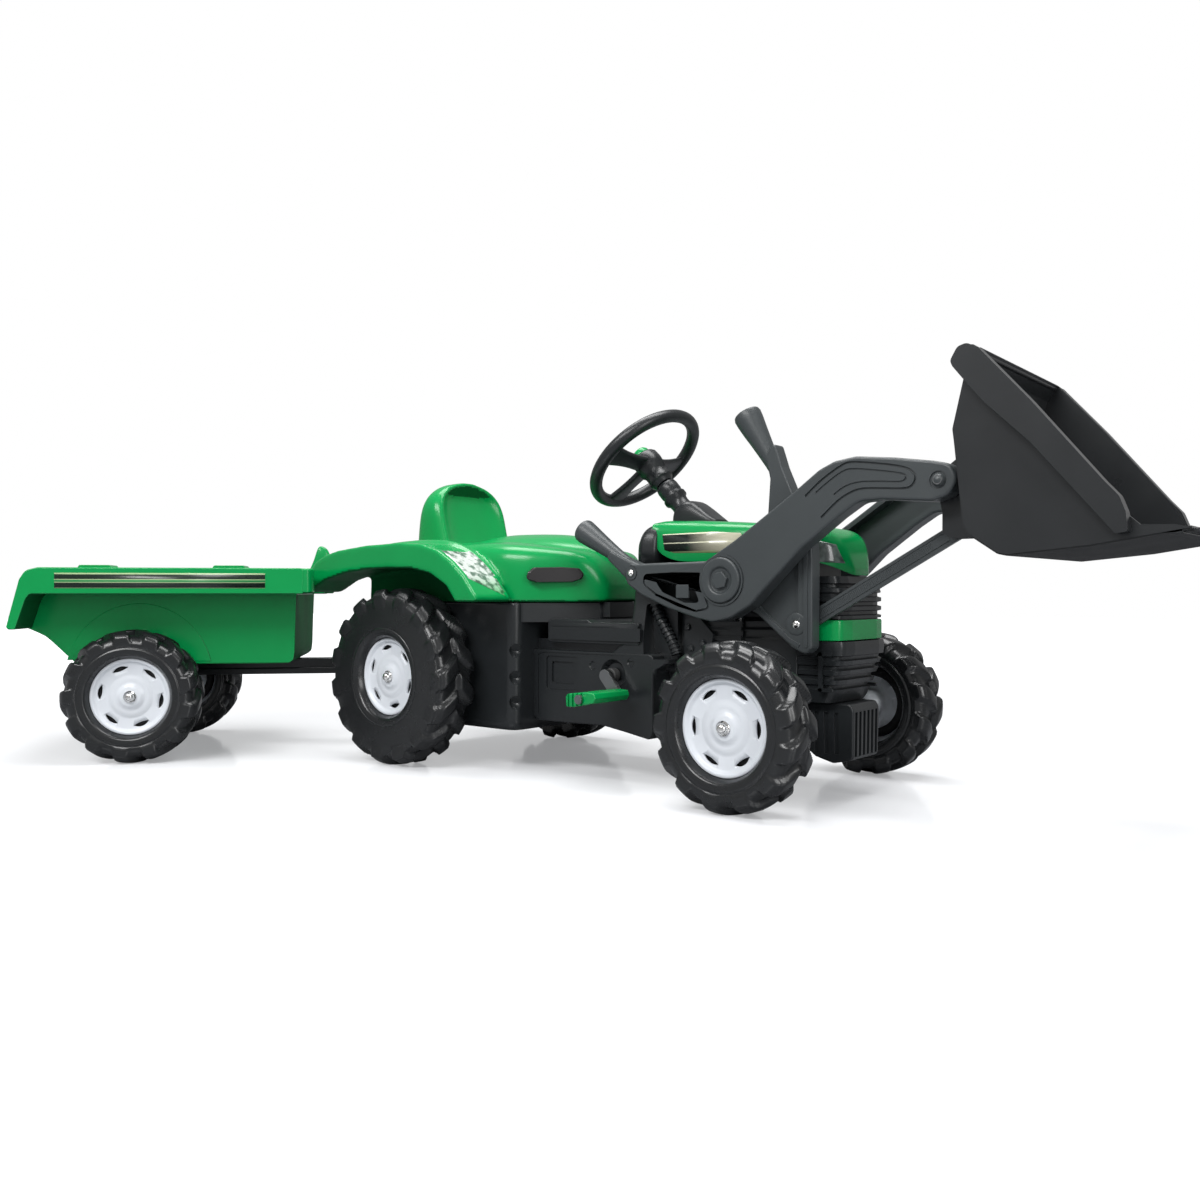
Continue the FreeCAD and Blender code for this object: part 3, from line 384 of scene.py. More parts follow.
# ----------------------------------------------------------------- wheels
def smoothstep(a, b, x):
    t = max(0.0, min(1.0, (x - a) / (b - a)))
    return t * t * (3 - 2 * t)


def make_tyre(name, r, half, lugs, rim_r=66.0):
    """Blow-moulded tyre with curved bars that run over both shoulders."""
    c = r - 9.0
    prof = [(rim_r, half - 24), (rim_r + 1.5, half - 14), (rim_r + 5, half - 6), (rim_r + 8, half - 2.5), (rim_r + 12, half - 1.2),
            (rim_r + 17, half - 0.6), (rim_r + 20.5, half - 2.2), (rim_r + 23, half - 1.6), (c - 14, half - 2), (c - 8, half - 5), (c - 3.2, half - 10), (c - 0.6, half - 18), (c, 0)]
    prof = [Vector((p[0], p[1], 0)) for p in prof]
    line = smooth_line(prof, 6)
    side = [(p.x, p.y) for p in line]
    full = side + [(p[0], -p[1]) for p in reversed(side[:-1])]
    na = lugs * 18
    pitch = 2 * math.pi / lugs
    verts, faces = [], []
    n = len(full)
    for k in range(na):
        a = 2 * math.pi * k / na
        for rr, y in full:
            t = y / half
            s = 1 if t < 0 else -1
            rel = max(0.0, (rr - (c - 22)) / 22.0)
            across = min(1.0, abs(t))
            phase = a + s * 0.0 + (0.5 * pitch if s > 0 else 0.0) + 0.55 * pitch * (1 - across) ** 1.3
            ph = (phase % pitch) / pitch
            duty = 0.62 if rel > 0.3 else 0.62
            m = smoothstep(0.0, 0.10, ph) * (1 - smoothstep(duty - 0.10, duty, ph))
            reach = smoothstep(0.0, 0.55, rel)
            fade = 1 - 0.0 * across
            centre = smoothstep(-0.16, 0.10, across)
            h = 9.0 * m * reach * fade * centre
            nr = 1.0 if rel > 0.75 else 0.35 + 0.65 * rel / 0.75
            ny = math.sqrt(max(0.0, 1 - nr * nr)) * (1 if y > 0 else -1)
            R = rr + h * nr
            Y = y + h * ny * 0.55
            Y = max(-half, min(half, Y))
            R = min(R, r)
            verts.append((R * math.sin(a), Y, R * math.cos(a)))
    for k in range(na):
        j = (k + 1) % na
        for i in range(n - 1):
            faces.append([k * n + i, k * n + i + 1, j * n + i + 1, j * n + i])
    return mesh(name, verts, faces, TYRE)


def make_rim(name, half, rim_r=67.0):
    """White rim: raised edge, dished face with slots, conical hub."""
    f = half - 19.0
    prof = [(0, half - 14.2), (15, half - 14.2), (18.5, half - 15.0), (21.5, f + 1.2), (27, f + 0.4), (33.5, f + 1.6), (36, f - 0.6), (40, f), (56, f), (60.0, f + 1.0), (61.5, half - 14.8),
            (63.0, half - 14.0), (rim_r - 0.6, half - 14.0), (rim_r, half - 15.0), (rim_r, half - 30), (rim_r - 4, half - 30), (rim_r - 5, f - 4), (30, f - 4), (20, f - 4), (20, -half + 12), (0, -half + 12)]
    prof = [(r, -h) for r, h in prof]
    obj = turned(name, prof, (0, 0, 0), (0, 1, 0), WHITE, seg=96)
    cutters = []
    for k in range(6):
        a0 = math.radians(60 * k + 28)
        pts = []
        for i in range(11):
            t = -1 + 2 * i / 10
            a = a0 + math.radians(15.5) * t
            rr = 51.5 + 3.9 * (1 - t * t)
            pts.append((rr * math.sin(a), rr * math.cos(a)))
        for i in range(1, 10):
            t = 1 - 2 * i / 10
            a = a0 + math.radians(15.5) * t
            rr = 51.5 - 3.9 * (1 - t * t)
            pts.append((rr * math.sin(a), rr * math.cos(a)))
        cutters.append(prism("slot%d" % k, pts, -half, -f + 9, SHADE_BLACK_PAINT))
    carve(obj, *cutters)
    # dark ring behind the slots: painted shade seen through the rim windows
    back = turned("shade", [(44, -f + 6.5), (58.5, -f + 6.5), (58.5, -f + 8.5), (44, -f + 8.5)], (0, 0, 0), (0, 1, 0), SHADE_BLACK_PAINT, seg=64, closed=True)
    return join(name, [obj, back])


def axle_cap(name, y, r=10.5):
    """Domed nut on its washer."""
    prof = [(0, 9.6), (3.0, 9.4), (5.6, 8.0), (7.4, 5.4), (8.0, 2.6), (8.1, 1.8), (r, 1.6), (r, 0.0), (0, 0)]
    return turned(name, prof, (0, y, 0), (0, -1, 0), CHROME, seg=40)


def spot(body, x, y, z, flip, base=BASE):
    m = base @ Matrix.Translation(Vector((x * MM, y * MM, z * MM)))
    if flip:
        m = m @ Matrix.Rotation(math.pi, 4, "Z")
    return m


tyre_f = make_tyre("front_right_tyre_v", 117.0, 37.0, 13)
tyre_r = make_tyre("rear_right_tyre_v", 153.5, 42.0, 15)
rim_f = make_rim("front_right_rim_v", 37.0)
rim_r = make_rim("rear_right_rim_v", 42.0)
nut_f = axle_cap("front_right_cap_v", -23.4)
nut_r = axle_cap("rear_right_cap_v", -28.4)
MASTERS = {"tyre_f": tyre_f.data, "tyre_r": tyre_r.data, "rim_f": rim_f.data, "rim_r": rim_r.data, "nut_f": nut_f.data, "nut_r": nut_r.data}
for o in (tyre_f, tyre_r, rim_f, rim_r, nut_f, nut_r):
    bpy.data.objects.remove(o)


def put(name, key, m, body, nodes, spin=0.0):
    me = MASTERS[key].copy()
    me.name = name
    me.transform(Matrix.Scale(MM, 4))
    me.transform(m @ Matrix.Rotation(spin, 4, "Y"))
    o = link(bpy.data.objects.new(name, me))
    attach(o, body)
    if nodes:
        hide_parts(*nodes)
    return o


for side, s, flip in (("right", -1, False), ("left", 1, True)):
    m = spot(None, 680, s * 211, 117, flip)
    put("front_%s_tyre_v" % side, "tyre_f", m, "front_%s_wheel" % side, ["front_%s_tyre" % side])
    put("front_%s_rim_v" % side, "rim_f", m, "front_%s_wheel" % side, ["front_%s_rim" % side])
    put("front_%s_cap_v" % side, "nut_f", m, "%s_knuckle" % side, ["front_%s_nut" % side])
    m = spot(None, 0, s * 218.5, 153.5, flip)
    put("rear_%s_tyre_v" % side, "tyre_r", m, "rear_drive", ["rear_%s_tyre" % side])
    put("rear_%s_rim_v" % side, "rim_r", m, "rear_drive", ["rear_%s_rim" % side], spin=0.35)
    put("rear_%s_cap_v" % side, "nut_r", m, "rear_drive", ["rear_axle_nuts"])
    m = spot(None, -700.5, s * 202, 117, flip, TOWED)
    put("trailer_%s_tyre_v" % side, "tyre_f", m, "trailer_%s_wheel" % side, ["trailer_%s_tyre" % side])
    put("trailer_%s_rim_v" % side, "rim_f", m, "trailer_%s_wheel" % side, ["trailer_%s_rim" % side], spin=0.2)
    put("trailer_%s_cap_v" % side, "nut_f", m, "trailer", ["trailer_axle_nuts"])


# ------------------------------------------------- seat moulding (green)
def dome(name, stations, mat, n=40, e1=0.42, e2=0.55, z0=None):
    """Closed solid along X: each station is (x, half width, bottom, top)."""
    loops = []
    for x, w, lo, hi in stations:
        loop = []
        for k in range(n + 1):
            t = math.pi * k / n
            c, s = math.cos(t), math.sin(t)
            loop.append((x, w * math.copysign(abs(c) ** e1, c), lo + (hi - lo) * abs(s) ** e2))
        for k in range(1, 8):
            loop.append((x, -w + 2 * w * k / 8, lo))
        loops.append(loop)
    return rings(name, loops, mat)


def spread(stations, n=6):
    return [tuple(v) for v in smooth_line_nd(stations, n)]


def smooth_line_nd(pts, n):
    out, m = [], len(pts)
    for i in range(m - 1):
        p = [pts[max(0, min(m - 1, i + k))] for k in (-1, 0, 1, 2)]
        for k in range(n):
            t = k / n
            out.append([0.5 * ((2 * p[1][q]) + (p[2][q] - p[0][q]) * t + (2 * p[0][q] - 5 * p[1][q] + 4 * p[2][q] - p[3][q]) * t * t
                               + (3 * p[1][q] - p[0][q] - 3 * p[2][q] + p[3][q]) * t ** 3) for q in range(len(pts[0]))])
    out.append(list(pts[-1]))
    return out


FENDER = [(-254, 303), (-246, 316), (-228, 338), (-206, 357), (-180, 368), (-140, 376), (-60, 383), (36, 385), (88, 381), (128, 370), (160, 352), (190, 328), (228, 284),
          (170, 284), (166, 290), (150, 310), (110, 331), (62, 340), (0, 342), (-50, 341), (-120, 335), (-180, 322), (-222, 304), (-236, 300)]
parts = []
core = dome("seat_core", spread([(-150, 168, 283, 382), (-60, 169, 283, 386), (60, 169, 283, 388), (140, 167, 283, 388), (190, 163, 283, 384), (222, 152, 283, 380),
                                 (250, 131, 283, 376), (280, 104, 283, 371), (300, 84, 283, 362), (314, 68, 283, 348), (323, 56, 284, 330), (328, 46, 286, 312)], 4), GREEN, e1=0.20, e2=0.36)
parts.append(core)
crest = dome("seat_crest", spread([(-60, 112, 340, 398), (0, 122, 340, 404), (60, 124, 340, 406), (120, 120, 340, 406), (180, 108, 340, 404), (220, 96, 340, 400), (256, 80, 335, 393),
                                   (284, 64, 330, 382), (302, 50, 330, 370), (314, 36, 325, 356)], 4), GREEN, e1=1.0, e2=1.0)
parts.append(crest)
for o in (core, crest):
    pan = dome("pan", spread([(-60, 30, 398, 470), (-50, 66, 386, 480), (-20, 86, 378, 480), (20, 88, 378, 480), (48, 76, 384, 480), (70, 52, 394, 480), (84, 22, 404, 480)], 4), GREEN, e1=0.8, e2=0.5)
    carve(o, pan)
for s in (-1, 1):
    f = prism("fender", rounded(FENDER, 8), s * 168, s * 250, GREEN)
    bake(f, ("BEVEL", {"width": 7, "segments": 4, "limit_method": "ANGLE", "angle_limit": math.radians(50)}))
    parts.append(f)
    # soft rib along the inner edge of the fender
    g = dome("shoulder", spread([(-170, 16, 360, 380), (-60, 20, 370, 391), (40, 20, 372, 393), (100, 16, 366, 386), (150, 12, 346, 364), (196, 10, 310, 326)], 4), GREEN, e1=1.0, e2=1.0)
    g.data.transform(Matrix.Translation(Vector((0, s * 176, 0))))
    parts.append(g)
# backrest: wide at the bottom, round on top, dished towards the driver
loops = []
for i in range(29):
    t = i / 28.0
    z = 360 + 152 * t
    w = 93 * max(0.02, 1 - max(0.0, (t - 0.40) / 0.60) ** 3.4) ** 0.5
    xb, xf = -130 + 34 * t ** 1.5, 6 - 54 * t ** 0.7
    mid, hx = (xb + xf) / 2, (xf - xb) / 2 * (1 - 0.25 * t ** 6)
    loop = []
    for k in range(64):
        a = 2 * math.pi * k / 64
        c, s = math.cos(a), math.sin(a)
        x = mid + hx * math.copysign(abs(c) ** 0.6, c)
        y = w * math.copysign(abs(s) ** 0.6, s)
        if c > 0:
            q = min(1.0, abs(y) / max(w, 1) / 0.86)
            x -= 26 * (1 - q ** 4) * min(1, 5 * (1 - t)) * min(1, 5 * t)
        loop.append((x, y, z))
    loops.append(loop)
parts.append(rings("backrest", loops, GREEN))
seat = join("seat_shell_v", parts)
melt(seat, 3.0, 9)
hollow = []
for s in (-1, 1):
    arch = [(-236, 270), (-222, 298), (-180, 316), (-120, 328), (-50, 334), (0, 335), (62, 333), (110, 324), (146, 304), (162, 284), (162, 270)]
    hollow.append(prism("arch", arch, s * 172, s * 243, GREEN))
carve(seat, *hollow)
seat.data.polygons.foreach_set("use_smooth", [True] * len(seat.data.polygons))
# darker, duller copy of the green for undersides and hidden inner faces: painted shade
GREEN_PAINTED_SHADE = material("green_painted_under_shade", (0.0, 0.085, 0.022), 0.62, bump=0.05, spec=0.12)


def shade_under(obj, test):
    """Paints shade on a moulding: faces that pass the test get a darker, duller copy of the green, standing in for the
    shadow on its underside and hidden inner faces.
    """
    obj.data.materials.append(GREEN_PAINTED_SHADE)
    i = len(obj.data.materials) - 1
    for p in obj.data.polygons:
        if test(p.center, p.normal):
            p.material_index = i


# painted shade: the seat's downward faces and the hollows under the fenders get the darker green
shade_under(seat, lambda c, n: n.z < -0.35 or (164 < abs(c.y) < 244 and n.z < 0.2 and c.x < 150 and abs(n.y) > 0.6 and abs(c.y) < 176))


def tree_of(obj):
    return BVHTree.FromPolygons([v.co.copy() for v in obj.data.vertices], [tuple(p.vertices) for p in obj.data.polygons])


def stick(name, tree, corners, direction, mat, nu=14, nv=10, lift=0.6, body="chassis"):
    """Printed label laid over a curved moulding: four corners are dropped on
    to it along the direction, and the label follows the surface between."""
    d = Vector(direction).normalized()
    a, b, c, e = [Vector(v) for v in corners]
    top, low = [], []
    for i in range(nu + 1):
        u = i / nu
        for k in range(nv + 1):
            v = k / nv
            q = (a * (1 - u) + b * u) * (1 - v) + (e * (1 - u) + c * u) * v
            hit, nrm, _, dist = tree.ray_cast(q - d * 80, d, 200)
            if hit is None:
                hit = tree.find_nearest(q)[0]
            top.append(hit - d * lift)
            low.append(hit + d * 0.3)
    n = len(top)
    faces = []
    for i in range(nu):
        for k in range(nv):
            p = i * (nv + 1) + k
            faces.append([p, p + 1, p + nv + 2, p + nv + 1])
            faces.append([n + p, n + p + nv + 1, n + p + nv + 2, n + p + 1])
    edge = [i * (nv + 1) for i in range(nu + 1)] + [nu * (nv + 1) + k for k in range(1, nv + 1)] + [i * (nv + 1) + nv for i in range(nu - 1, -1, -1)] + [k for k in range(nv - 1, 0, -1)]
    for i in range(len(edge)):
        p, q = edge[i], edge[(i + 1) % len(edge)]
        faces.append([p, q, n + q, n + p])
    return finish(mesh(name, top + low, faces, mat), body, ())


def label_material():
    """Pale printed label fading to green at its lower edge, with soft blotches."""
    m = bpy.data.materials.new("fender_label")
    m.use_nodes = True
    nt = m.node_tree
    b = nt.nodes["Principled BSDF"]
    coord = nt.nodes.new("ShaderNodeTexCoord")
    sep = nt.nodes.new("ShaderNodeSeparateXYZ")
    nt.links.new(coord.outputs["Object"], sep.inputs[0])
    zr = nt.nodes.new("ShaderNodeMapRange")
    zr.inputs[1].default_value, zr.inputs[2].default_value = 0.296, 0.372
    nt.links.new(sep.outputs[2], zr.inputs[0])
    fade = nt.nodes.new("ShaderNodeValToRGB")
    fade.color_ramp.elements[0].position, fade.color_ramp.elements[0].color = 0.0, (0.10, 0.42, 0.16, 1)
    fade.color_ramp.elements[1].position, fade.color_ramp.elements[1].color = 0.42, (0.50, 0.55, 0.51, 1)
    nt.links.new(zr.outputs[0], fade.inputs[0])
    n = nt.nodes.new("ShaderNodeTexNoise")
    n.inputs["Scale"].default_value = 75
    n.inputs["Detail"].default_value = 3
    nt.links.new(coord.outputs["Object"], n.inputs["Vector"])
    spots = nt.nodes.new("ShaderNodeValToRGB")
    spots.color_ramp.elements[0].position, spots.color_ramp.elements[0].color = 0.40, (0.18, 0.28, 0.22, 1)
    spots.color_ramp.elements[1].position, spots.color_ramp.elements[1].color = 0.52, (1, 1, 1, 1)
    nt.links.new(n.outputs[0], spots.inputs[0])
    mul = nt.nodes.new("ShaderNodeMix")
    mul.data_type = "RGBA"
    mul.blend_type = "MULTIPLY"
    mul.inputs["Factor"].default_value = 1.0
    nt.links.new(fade.outputs[0], mul.inputs[6])
    nt.links.new(spots.outputs[0], mul.inputs[7])
    nt.links.new(mul.outputs[2], b.inputs["Base Color"])
    rr = nt.nodes.new("ShaderNodeMapRange")
    rr.inputs["To Min"].default_value, rr.inputs["To Max"].default_value = 0.20, 0.34
    nt.links.new(n.outputs[0], rr.inputs[0])
    nt.links.new(rr.outputs[0], b.inputs["Roughness"])
    return m


LABEL = label_material()
SEAT_TREE = tree_of(seat)
for side, sg in (("right", -1), ("left", 1)):
    stick("fender_label_%s_v" % side, SEAT_TREE, [(128, sg * 241, 366), (134, sg * 182, 368), (222, sg * 176, 292), (192, sg * 241, 318)], (-0.55, 0, -0.83), LABEL)
finish(seat, "chassis", ["seat_shell"])

def slab_on(name, corners, depth, mat, n_round=5):
    """Thin plate through four or more points in space, raised by depth."""
    pts = [Vector(c) for c in corners]
    nrm = (pts[1] - pts[0]).cross(pts[2] - pts[0]).normalized()
    n = len(pts)
    verts = [p for p in pts] + [p + nrm * depth for p in pts]
    faces = [list(range(n)), list(range(2 * n - 1, n - 1, -1))] + [[i, (i + 1) % n, n + (i + 1) % n, n + i] for i in range(n)]
    return mesh(name, verts, faces, mat)


# ------------------------------------------------------------- loader arms
def band(path, w):
    """Closed outline of a strip of width w laid along a path."""
    pts = [Vector(p) for p in path]
    left, right = [], []
    for i, p in enumerate(pts):
        d = (pts[min(i + 1, len(pts) - 1)] - pts[max(i - 1, 0)]).normalized()
        n = Vector((-d.y, d.x)) * w / 2
        left.append(tuple(p + n))
        right.append(tuple(p - n))
    return left + right[::-1]


def strip(path, w, y0, y1, mat=ARM_BLACK, n=5, closed=False):
    pts = [tuple(p) for p in smooth_line([(a, b, 0) for a, b in path], n, closed)]
    pts = [(p[0], p[1]) for p in pts]
    if closed:
        pts.append(pts[0])
    return prism("strip", band(pts, w), y0, y1, mat)


def ring_cutter(x, z, r0, r1, y0, y1, seg=48):
    prof = [(r0, y0), (r1, y0), (r1, y1), (r0, y1)]
    return turned("ring", prof, (x, 0, z), (0, 1, 0), ARM_BLACK, seg=seg, closed=True)


ARM = [(448, 343), (588, 345), (640, 375), (700, 415), (740, 442), (772, 465), (795, 475), (825, 479), (880, 473), (930, 465),
       (952, 460), (963, 440), (952, 421), (930, 414), (862, 420), (830, 419), (800, 400), (744, 359), (690, 306), (664, 280),
       (632, 262), (600, 256), (570, 262), (520, 276), (470, 296), (444, 312), (436, 328)]
ARM_R = [6, 6, 30, 40, 40, 40, 30, 40, 30, 20, 18, 24, 18, 14, 30, 30, 60, 60, 60, 40, 40, 40, 40, 40, 30, 14, 10]
U_OUT = [(752, 430), (776, 450), (804, 467), (821, 471), (860, 466), (893, 459), (906, 451), (908, 443), (903, 435), (892, 432), (860, 434), (834, 435), (816, 430), (799, 420), (776, 400)]
U_IN = [(768, 434), (786, 447), (806, 459), (822, 462), (860, 457), (890, 451), (896, 446), (888, 441), (860, 443), (833, 444), (812, 440), (795, 430)]
TEAR = [(478, 326), (530, 328), (580, 327), (586, 300), (596, 276), (572, 272), (540, 280), (500, 296), (476, 312)]
TEAR_R = [10, 2, 6, 10, 6, 10, 20, 20, 12]


def make_arm(side, s):
    arm = prism("loader_arm_%s_v" % side, rounded(ARM, ARM_R, 6), s * 110, s * 142, ARM_BLACK)
    bake(arm, ("BEVEL", {"width": 4.0, "segments": 4, "limit_method": "ANGLE", "angle_limit": math.radians(50)}))
    o, i = s * 144, s * 139.4
    cut = [strip(U_OUT, 3.2, o, i), strip(U_IN, 2.6, o, s * 140.2)]
    tear_path = rounded(TEAR, TEAR_R, 5)
    cut.append(strip(tear_path, 3.2, o, i, n=2, closed=True))
    inner = [(496, 319), (566, 320), (572, 300), (580, 284), (552, 284), (512, 300)]
    cut.append(prism("well", rounded(inner, 8), o, s * 139.0, ARM_BLACK))
    cut.append(ring_cutter(617, 317, 34.0, 37.0, min(o, i), max(o, i)))
    cut.append(ring_cutter(452, 329, 10.0, 12.5, min(o, s * 140.4), max(o, s * 140.4), 32))
    cut.append(ring_cutter(938, 440, 9.0, 11.5, min(o, s * 140.4), max(o, s * 140.4), 32))
    # hollow back of the moulding
    hollow = [(690, 398), (738, 430), (780, 457), (800, 465), (825, 468), (905, 459), (905, 428), (862, 431), (828, 430), (796, 410), (740, 370), (700, 334)]
    cut.append(prism("back", hollow, s * 109, s * 134, ARM_BLACK))
    carve(arm, *cut)
    extra = [prism("boss", rounded([(537, 311), (560, 311), (560, 291), (537, 291)], 2), s * 138.5, s * 143, ARM_BLACK)]
    d = extra[0]
    bake(d, ("BEVEL", {"width": 1.2, "segments": 2, "limit_method": "ANGLE", "angle_limit": math.radians(50)}))
    dome_cap = turned("rod_cap", [(0, 5.5), (4, 5.0), (7.0, 3.2), (8.4, 0.6), (8.4, 0), (0, 0)], (938, s * 141.5, 440), (0, s, 0), ARM_BLACK, seg=32)
    arm = join("loader_arm_%s_v" % side, [arm, d, dome_cap])
    finish(arm, "loader_arms", ["loader_arm_%s" % side], soft=0.5, seg=2, angle=40)
    return arm


make_arm("right", -1)
make_arm("left", 1)
# pivot caps: disc with a sunk ring and a six-sided boss
for side, s in (("right", -1), ("left", 1)):
    prof = [(0, 1.2), (13.5, 1.2), (17.5, 1.6), (19.5, 4.6), (22.0, 5.6), (30, 5.6), (32.0, 5.0), (33.0, 3.4), (33.0, 0), (0, 0)]
    disc = turned("cap", prof, (617, s * 142.6, 317), (0, s, 0), ARM_BLACK, seg=72)
    hexa = [(617 + 13.2 * math.cos(math.radians(60 * k + 12)), 317 + 13.2 * math.sin(math.radians(60 * k + 12))) for k in range(6)]
    h = prism("hex", rounded(hexa, 1.5, 3), s * 143.0, s * 149.0, ARM_BLACK)
    bake(h, ("BEVEL", {"width": 1.5, "segments": 3, "limit_method": "ANGLE", "angle_limit": math.radians(50)}))
    cap = join("pivot_cap_%s_v" % side, [disc, h])
    finish(cap, "chassis", ["pivot_washers"], soft=0.6, seg=2, angle=40)
bolt = turned("handle_bolt_v", [(0, 4.2), (2.4, 4.0), (4.6, 2.8), (5.6, 0.8), (5.6, 0), (0, 0)], (452, -142.0, 329), (0, -1, 0), CHROME, seg=32)
finish(bolt, "loader_arms", ["handle_bolt"])

# lift handle: flat shank that swells into a round grip
def grip(name, start, end, prof, mat=ARM_BLACK, body="", nodes=(), squash=1.0, hollow=True):
    a, b = Vector(start), Vector(end)
    L = (b - a).length
    u = (b - a).normalized()
    path, radii = [], []
    line = smooth_line_nd([list(p) for p in prof], 6)
    for t, r in line:
        path.append(a + u * L * t)
        radii.append(max(0.4, r))
    obj = tube(name, path, radii, mat, seg=40)
    return obj


lift = grip("lift_handle_v", (441, -126, 340), (339, -126, 402), [(0, 10.5), (0.15, 10.8), (0.35, 12.2), (0.6, 15.2), (0.85, 18.6), (0.93, 19.4), (0.965, 18.6), (0.985, 15.8), (0.99, 12), (0.972, 10.5), (0.965, 0.5)])
shank = prism("shank", rounded([(476, 338), (440, 352), (405, 368), (400, 352), (436, 322), (470, 316)], 8), -139, -113, ARM_BLACK)
bake(shank, ("BEVEL", {"width": 5, "segments": 4, "limit_method": "ANGLE", "angle_limit": math.radians(50)}))
lift = join("lift_handle_v", [lift, shank])
finish(lift, "loader_arms", ["lift_handle"], soft=None)
lift.data.polygons.foreach_set("use_smooth", [True] * len(lift.data.polygons))

# tilt lever: ribbed plate with raised borders and a long grip
LEVER = [(672, 405), (676, 462), (668, 498), (684, 514), (696, 478), (712, 442), (742, 385), (744, 345), (743, 222), (733, 212), (712, 221), (655, 268), (620, 284), (596, 292), (585, 317), (594, 341), (617, 349), (640, 365)]
plate = prism("tilt_lever_v", rounded(LEVER, [4, 10, 6, 5, 10, 30, 20, 10, 8, 8, 12, 10, 30, 14, 14, 14, 14, 20], 5), -107, -82.5, ARM_BLACK)
bake(plate, ("BEVEL", {"width": 3, "segments": 3, "limit_method": "ANGLE", "angle_limit": math.radians(50)}))
well = prism("well", rounded([(722, 360), (722, 268), (712, 262), (701, 244), (692, 250), (648, 290), (640, 340), (690, 380)], 8), -110, -102.5, ARM_BLACK)
carve(plate, well)
bits = [plate]
boss = turned("boss", [(0, 2.2), (13, 2.2), (15.5, 1.6), (16.5, 0), (0, 0)], (719, -106, 254.5), (0, -1, 0), ARM_BLACK, seg=48)
bits.append(boss)
bits.append(prism("rib1", rounded([(731, 372), (737, 372), (737, 222), (731, 222)], 2), -108.6, -106, ARM_BLACK))
bits.append(prism("rib2", band([(640, 286), (684, 252), (708, 232), (724, 224)], 6), -108.6, -106, ARM_BLACK))
path = [(704, -95, 433), (694, -95, 452), (684, -95, 470), (674, -95, 487), (664, -95, 503), (654, -95, 520), (645, -95, 535), (637, -95, 549), (632.5, -95, 557), (630.5, -95, 560.5), (629.5, -95, 562.2), (630.5, -95, 560.5), (632, -95, 558)]
radii = [9, 9.6, 10.4, 11.6, 13.2, 15.6, 18.0, 20.0, 20.6, 19.4, 16.0, 12.0, 0.5]
bits.append(tube("grip", path, radii, ARM_BLACK, seg=40))
lev = join("tilt_lever_v", bits)
finish(lev, "tilt_lever", ["tilt_lever"], soft=0.7, seg=2, angle=42)
bolt = turned("link_bolt_v", [(0, 3.4), (2.4, 3.2), (5.2, 2.2), (6.6, 0.6), (6.6, 0), (0, 0)], (719, -107.6, 254.5), (0, -1, 0), CHROME, seg=32)
finish(bolt, "tilt_lever", ["link_bolt"])

# link bar: strap with a fine file-cut face and dark side grooves
LF, QR = Vector((942, 381)), Vector((719, 254.5))
du = (LF - QR).normalized()
dn = Vector((-du.y, du.x))
ends = []
for c, sgn in ((LF + du * 3, 1), (QR, -1)):
    for k in range(13):
        a = -math.pi / 2 + math.pi * k / 12
        ends.append(tuple(c + du * (sgn * 11 * math.cos(a)) + dn * (sgn * 11 * math.sin(a))))
bar = prism("link_bar_v", ends, -80, -73, ARM_BLACK)
cuts = [prism("slot", band([tuple(LF - du * 6.5), tuple(LF + du * 6.5)], 12.4), -82, -71, ARM_BLACK),
        turned("hole", [(0, -82), (4.06, -82), (4.06, -71), (0, -71)], (719, 0, 254.5), (0, 1, 0), ARM_BLACK, seg=32)]
for off in (6.2, -6.2):
    cuts.append(prism("line", band([tuple(QR + du * 16 + dn * off), tuple(LF - du * 18 + dn * off)], 1.6), -81, -79.0, ARM_BLACK))
n_teeth = 70
for k in range(n_teeth):
    c = QR + du * (20 + 196.0 * k / n_teeth)
    cuts.append(prism("tooth", band([tuple(c - dn * 4.2), tuple(c + dn * 4.2)], 1.2), -81, -79.4, ARM_BLACK))
carve(bar, join("teeth", cuts))
finish(bar, "link_bar", ["link_bar"], soft=0.4, seg=2, angle=50)

# ------------------------------------------------------------------ bucket
def shell_panel(name, pts3, thick, mat):
    return None


def sheet(name, rows, thick, mat, inward=None):
    """Thin moulding through a grid of points, thickened by a solidify."""
    n = len(rows[0])
    verts = [tuple(p) for r in rows for p in r]
    faces = []
    for i in range(len(rows) - 1):
        for k in range(n - 1):
            faces.append([i * n + k, i * n + k + 1, (i + 1) * n + k + 1, (i + 1) * n + k])
    obj = mesh(name, verts, faces, mat)
    bake(obj, ("SOLIDIFY", {"thickness": thick, "offset": 0.0}))
    return obj


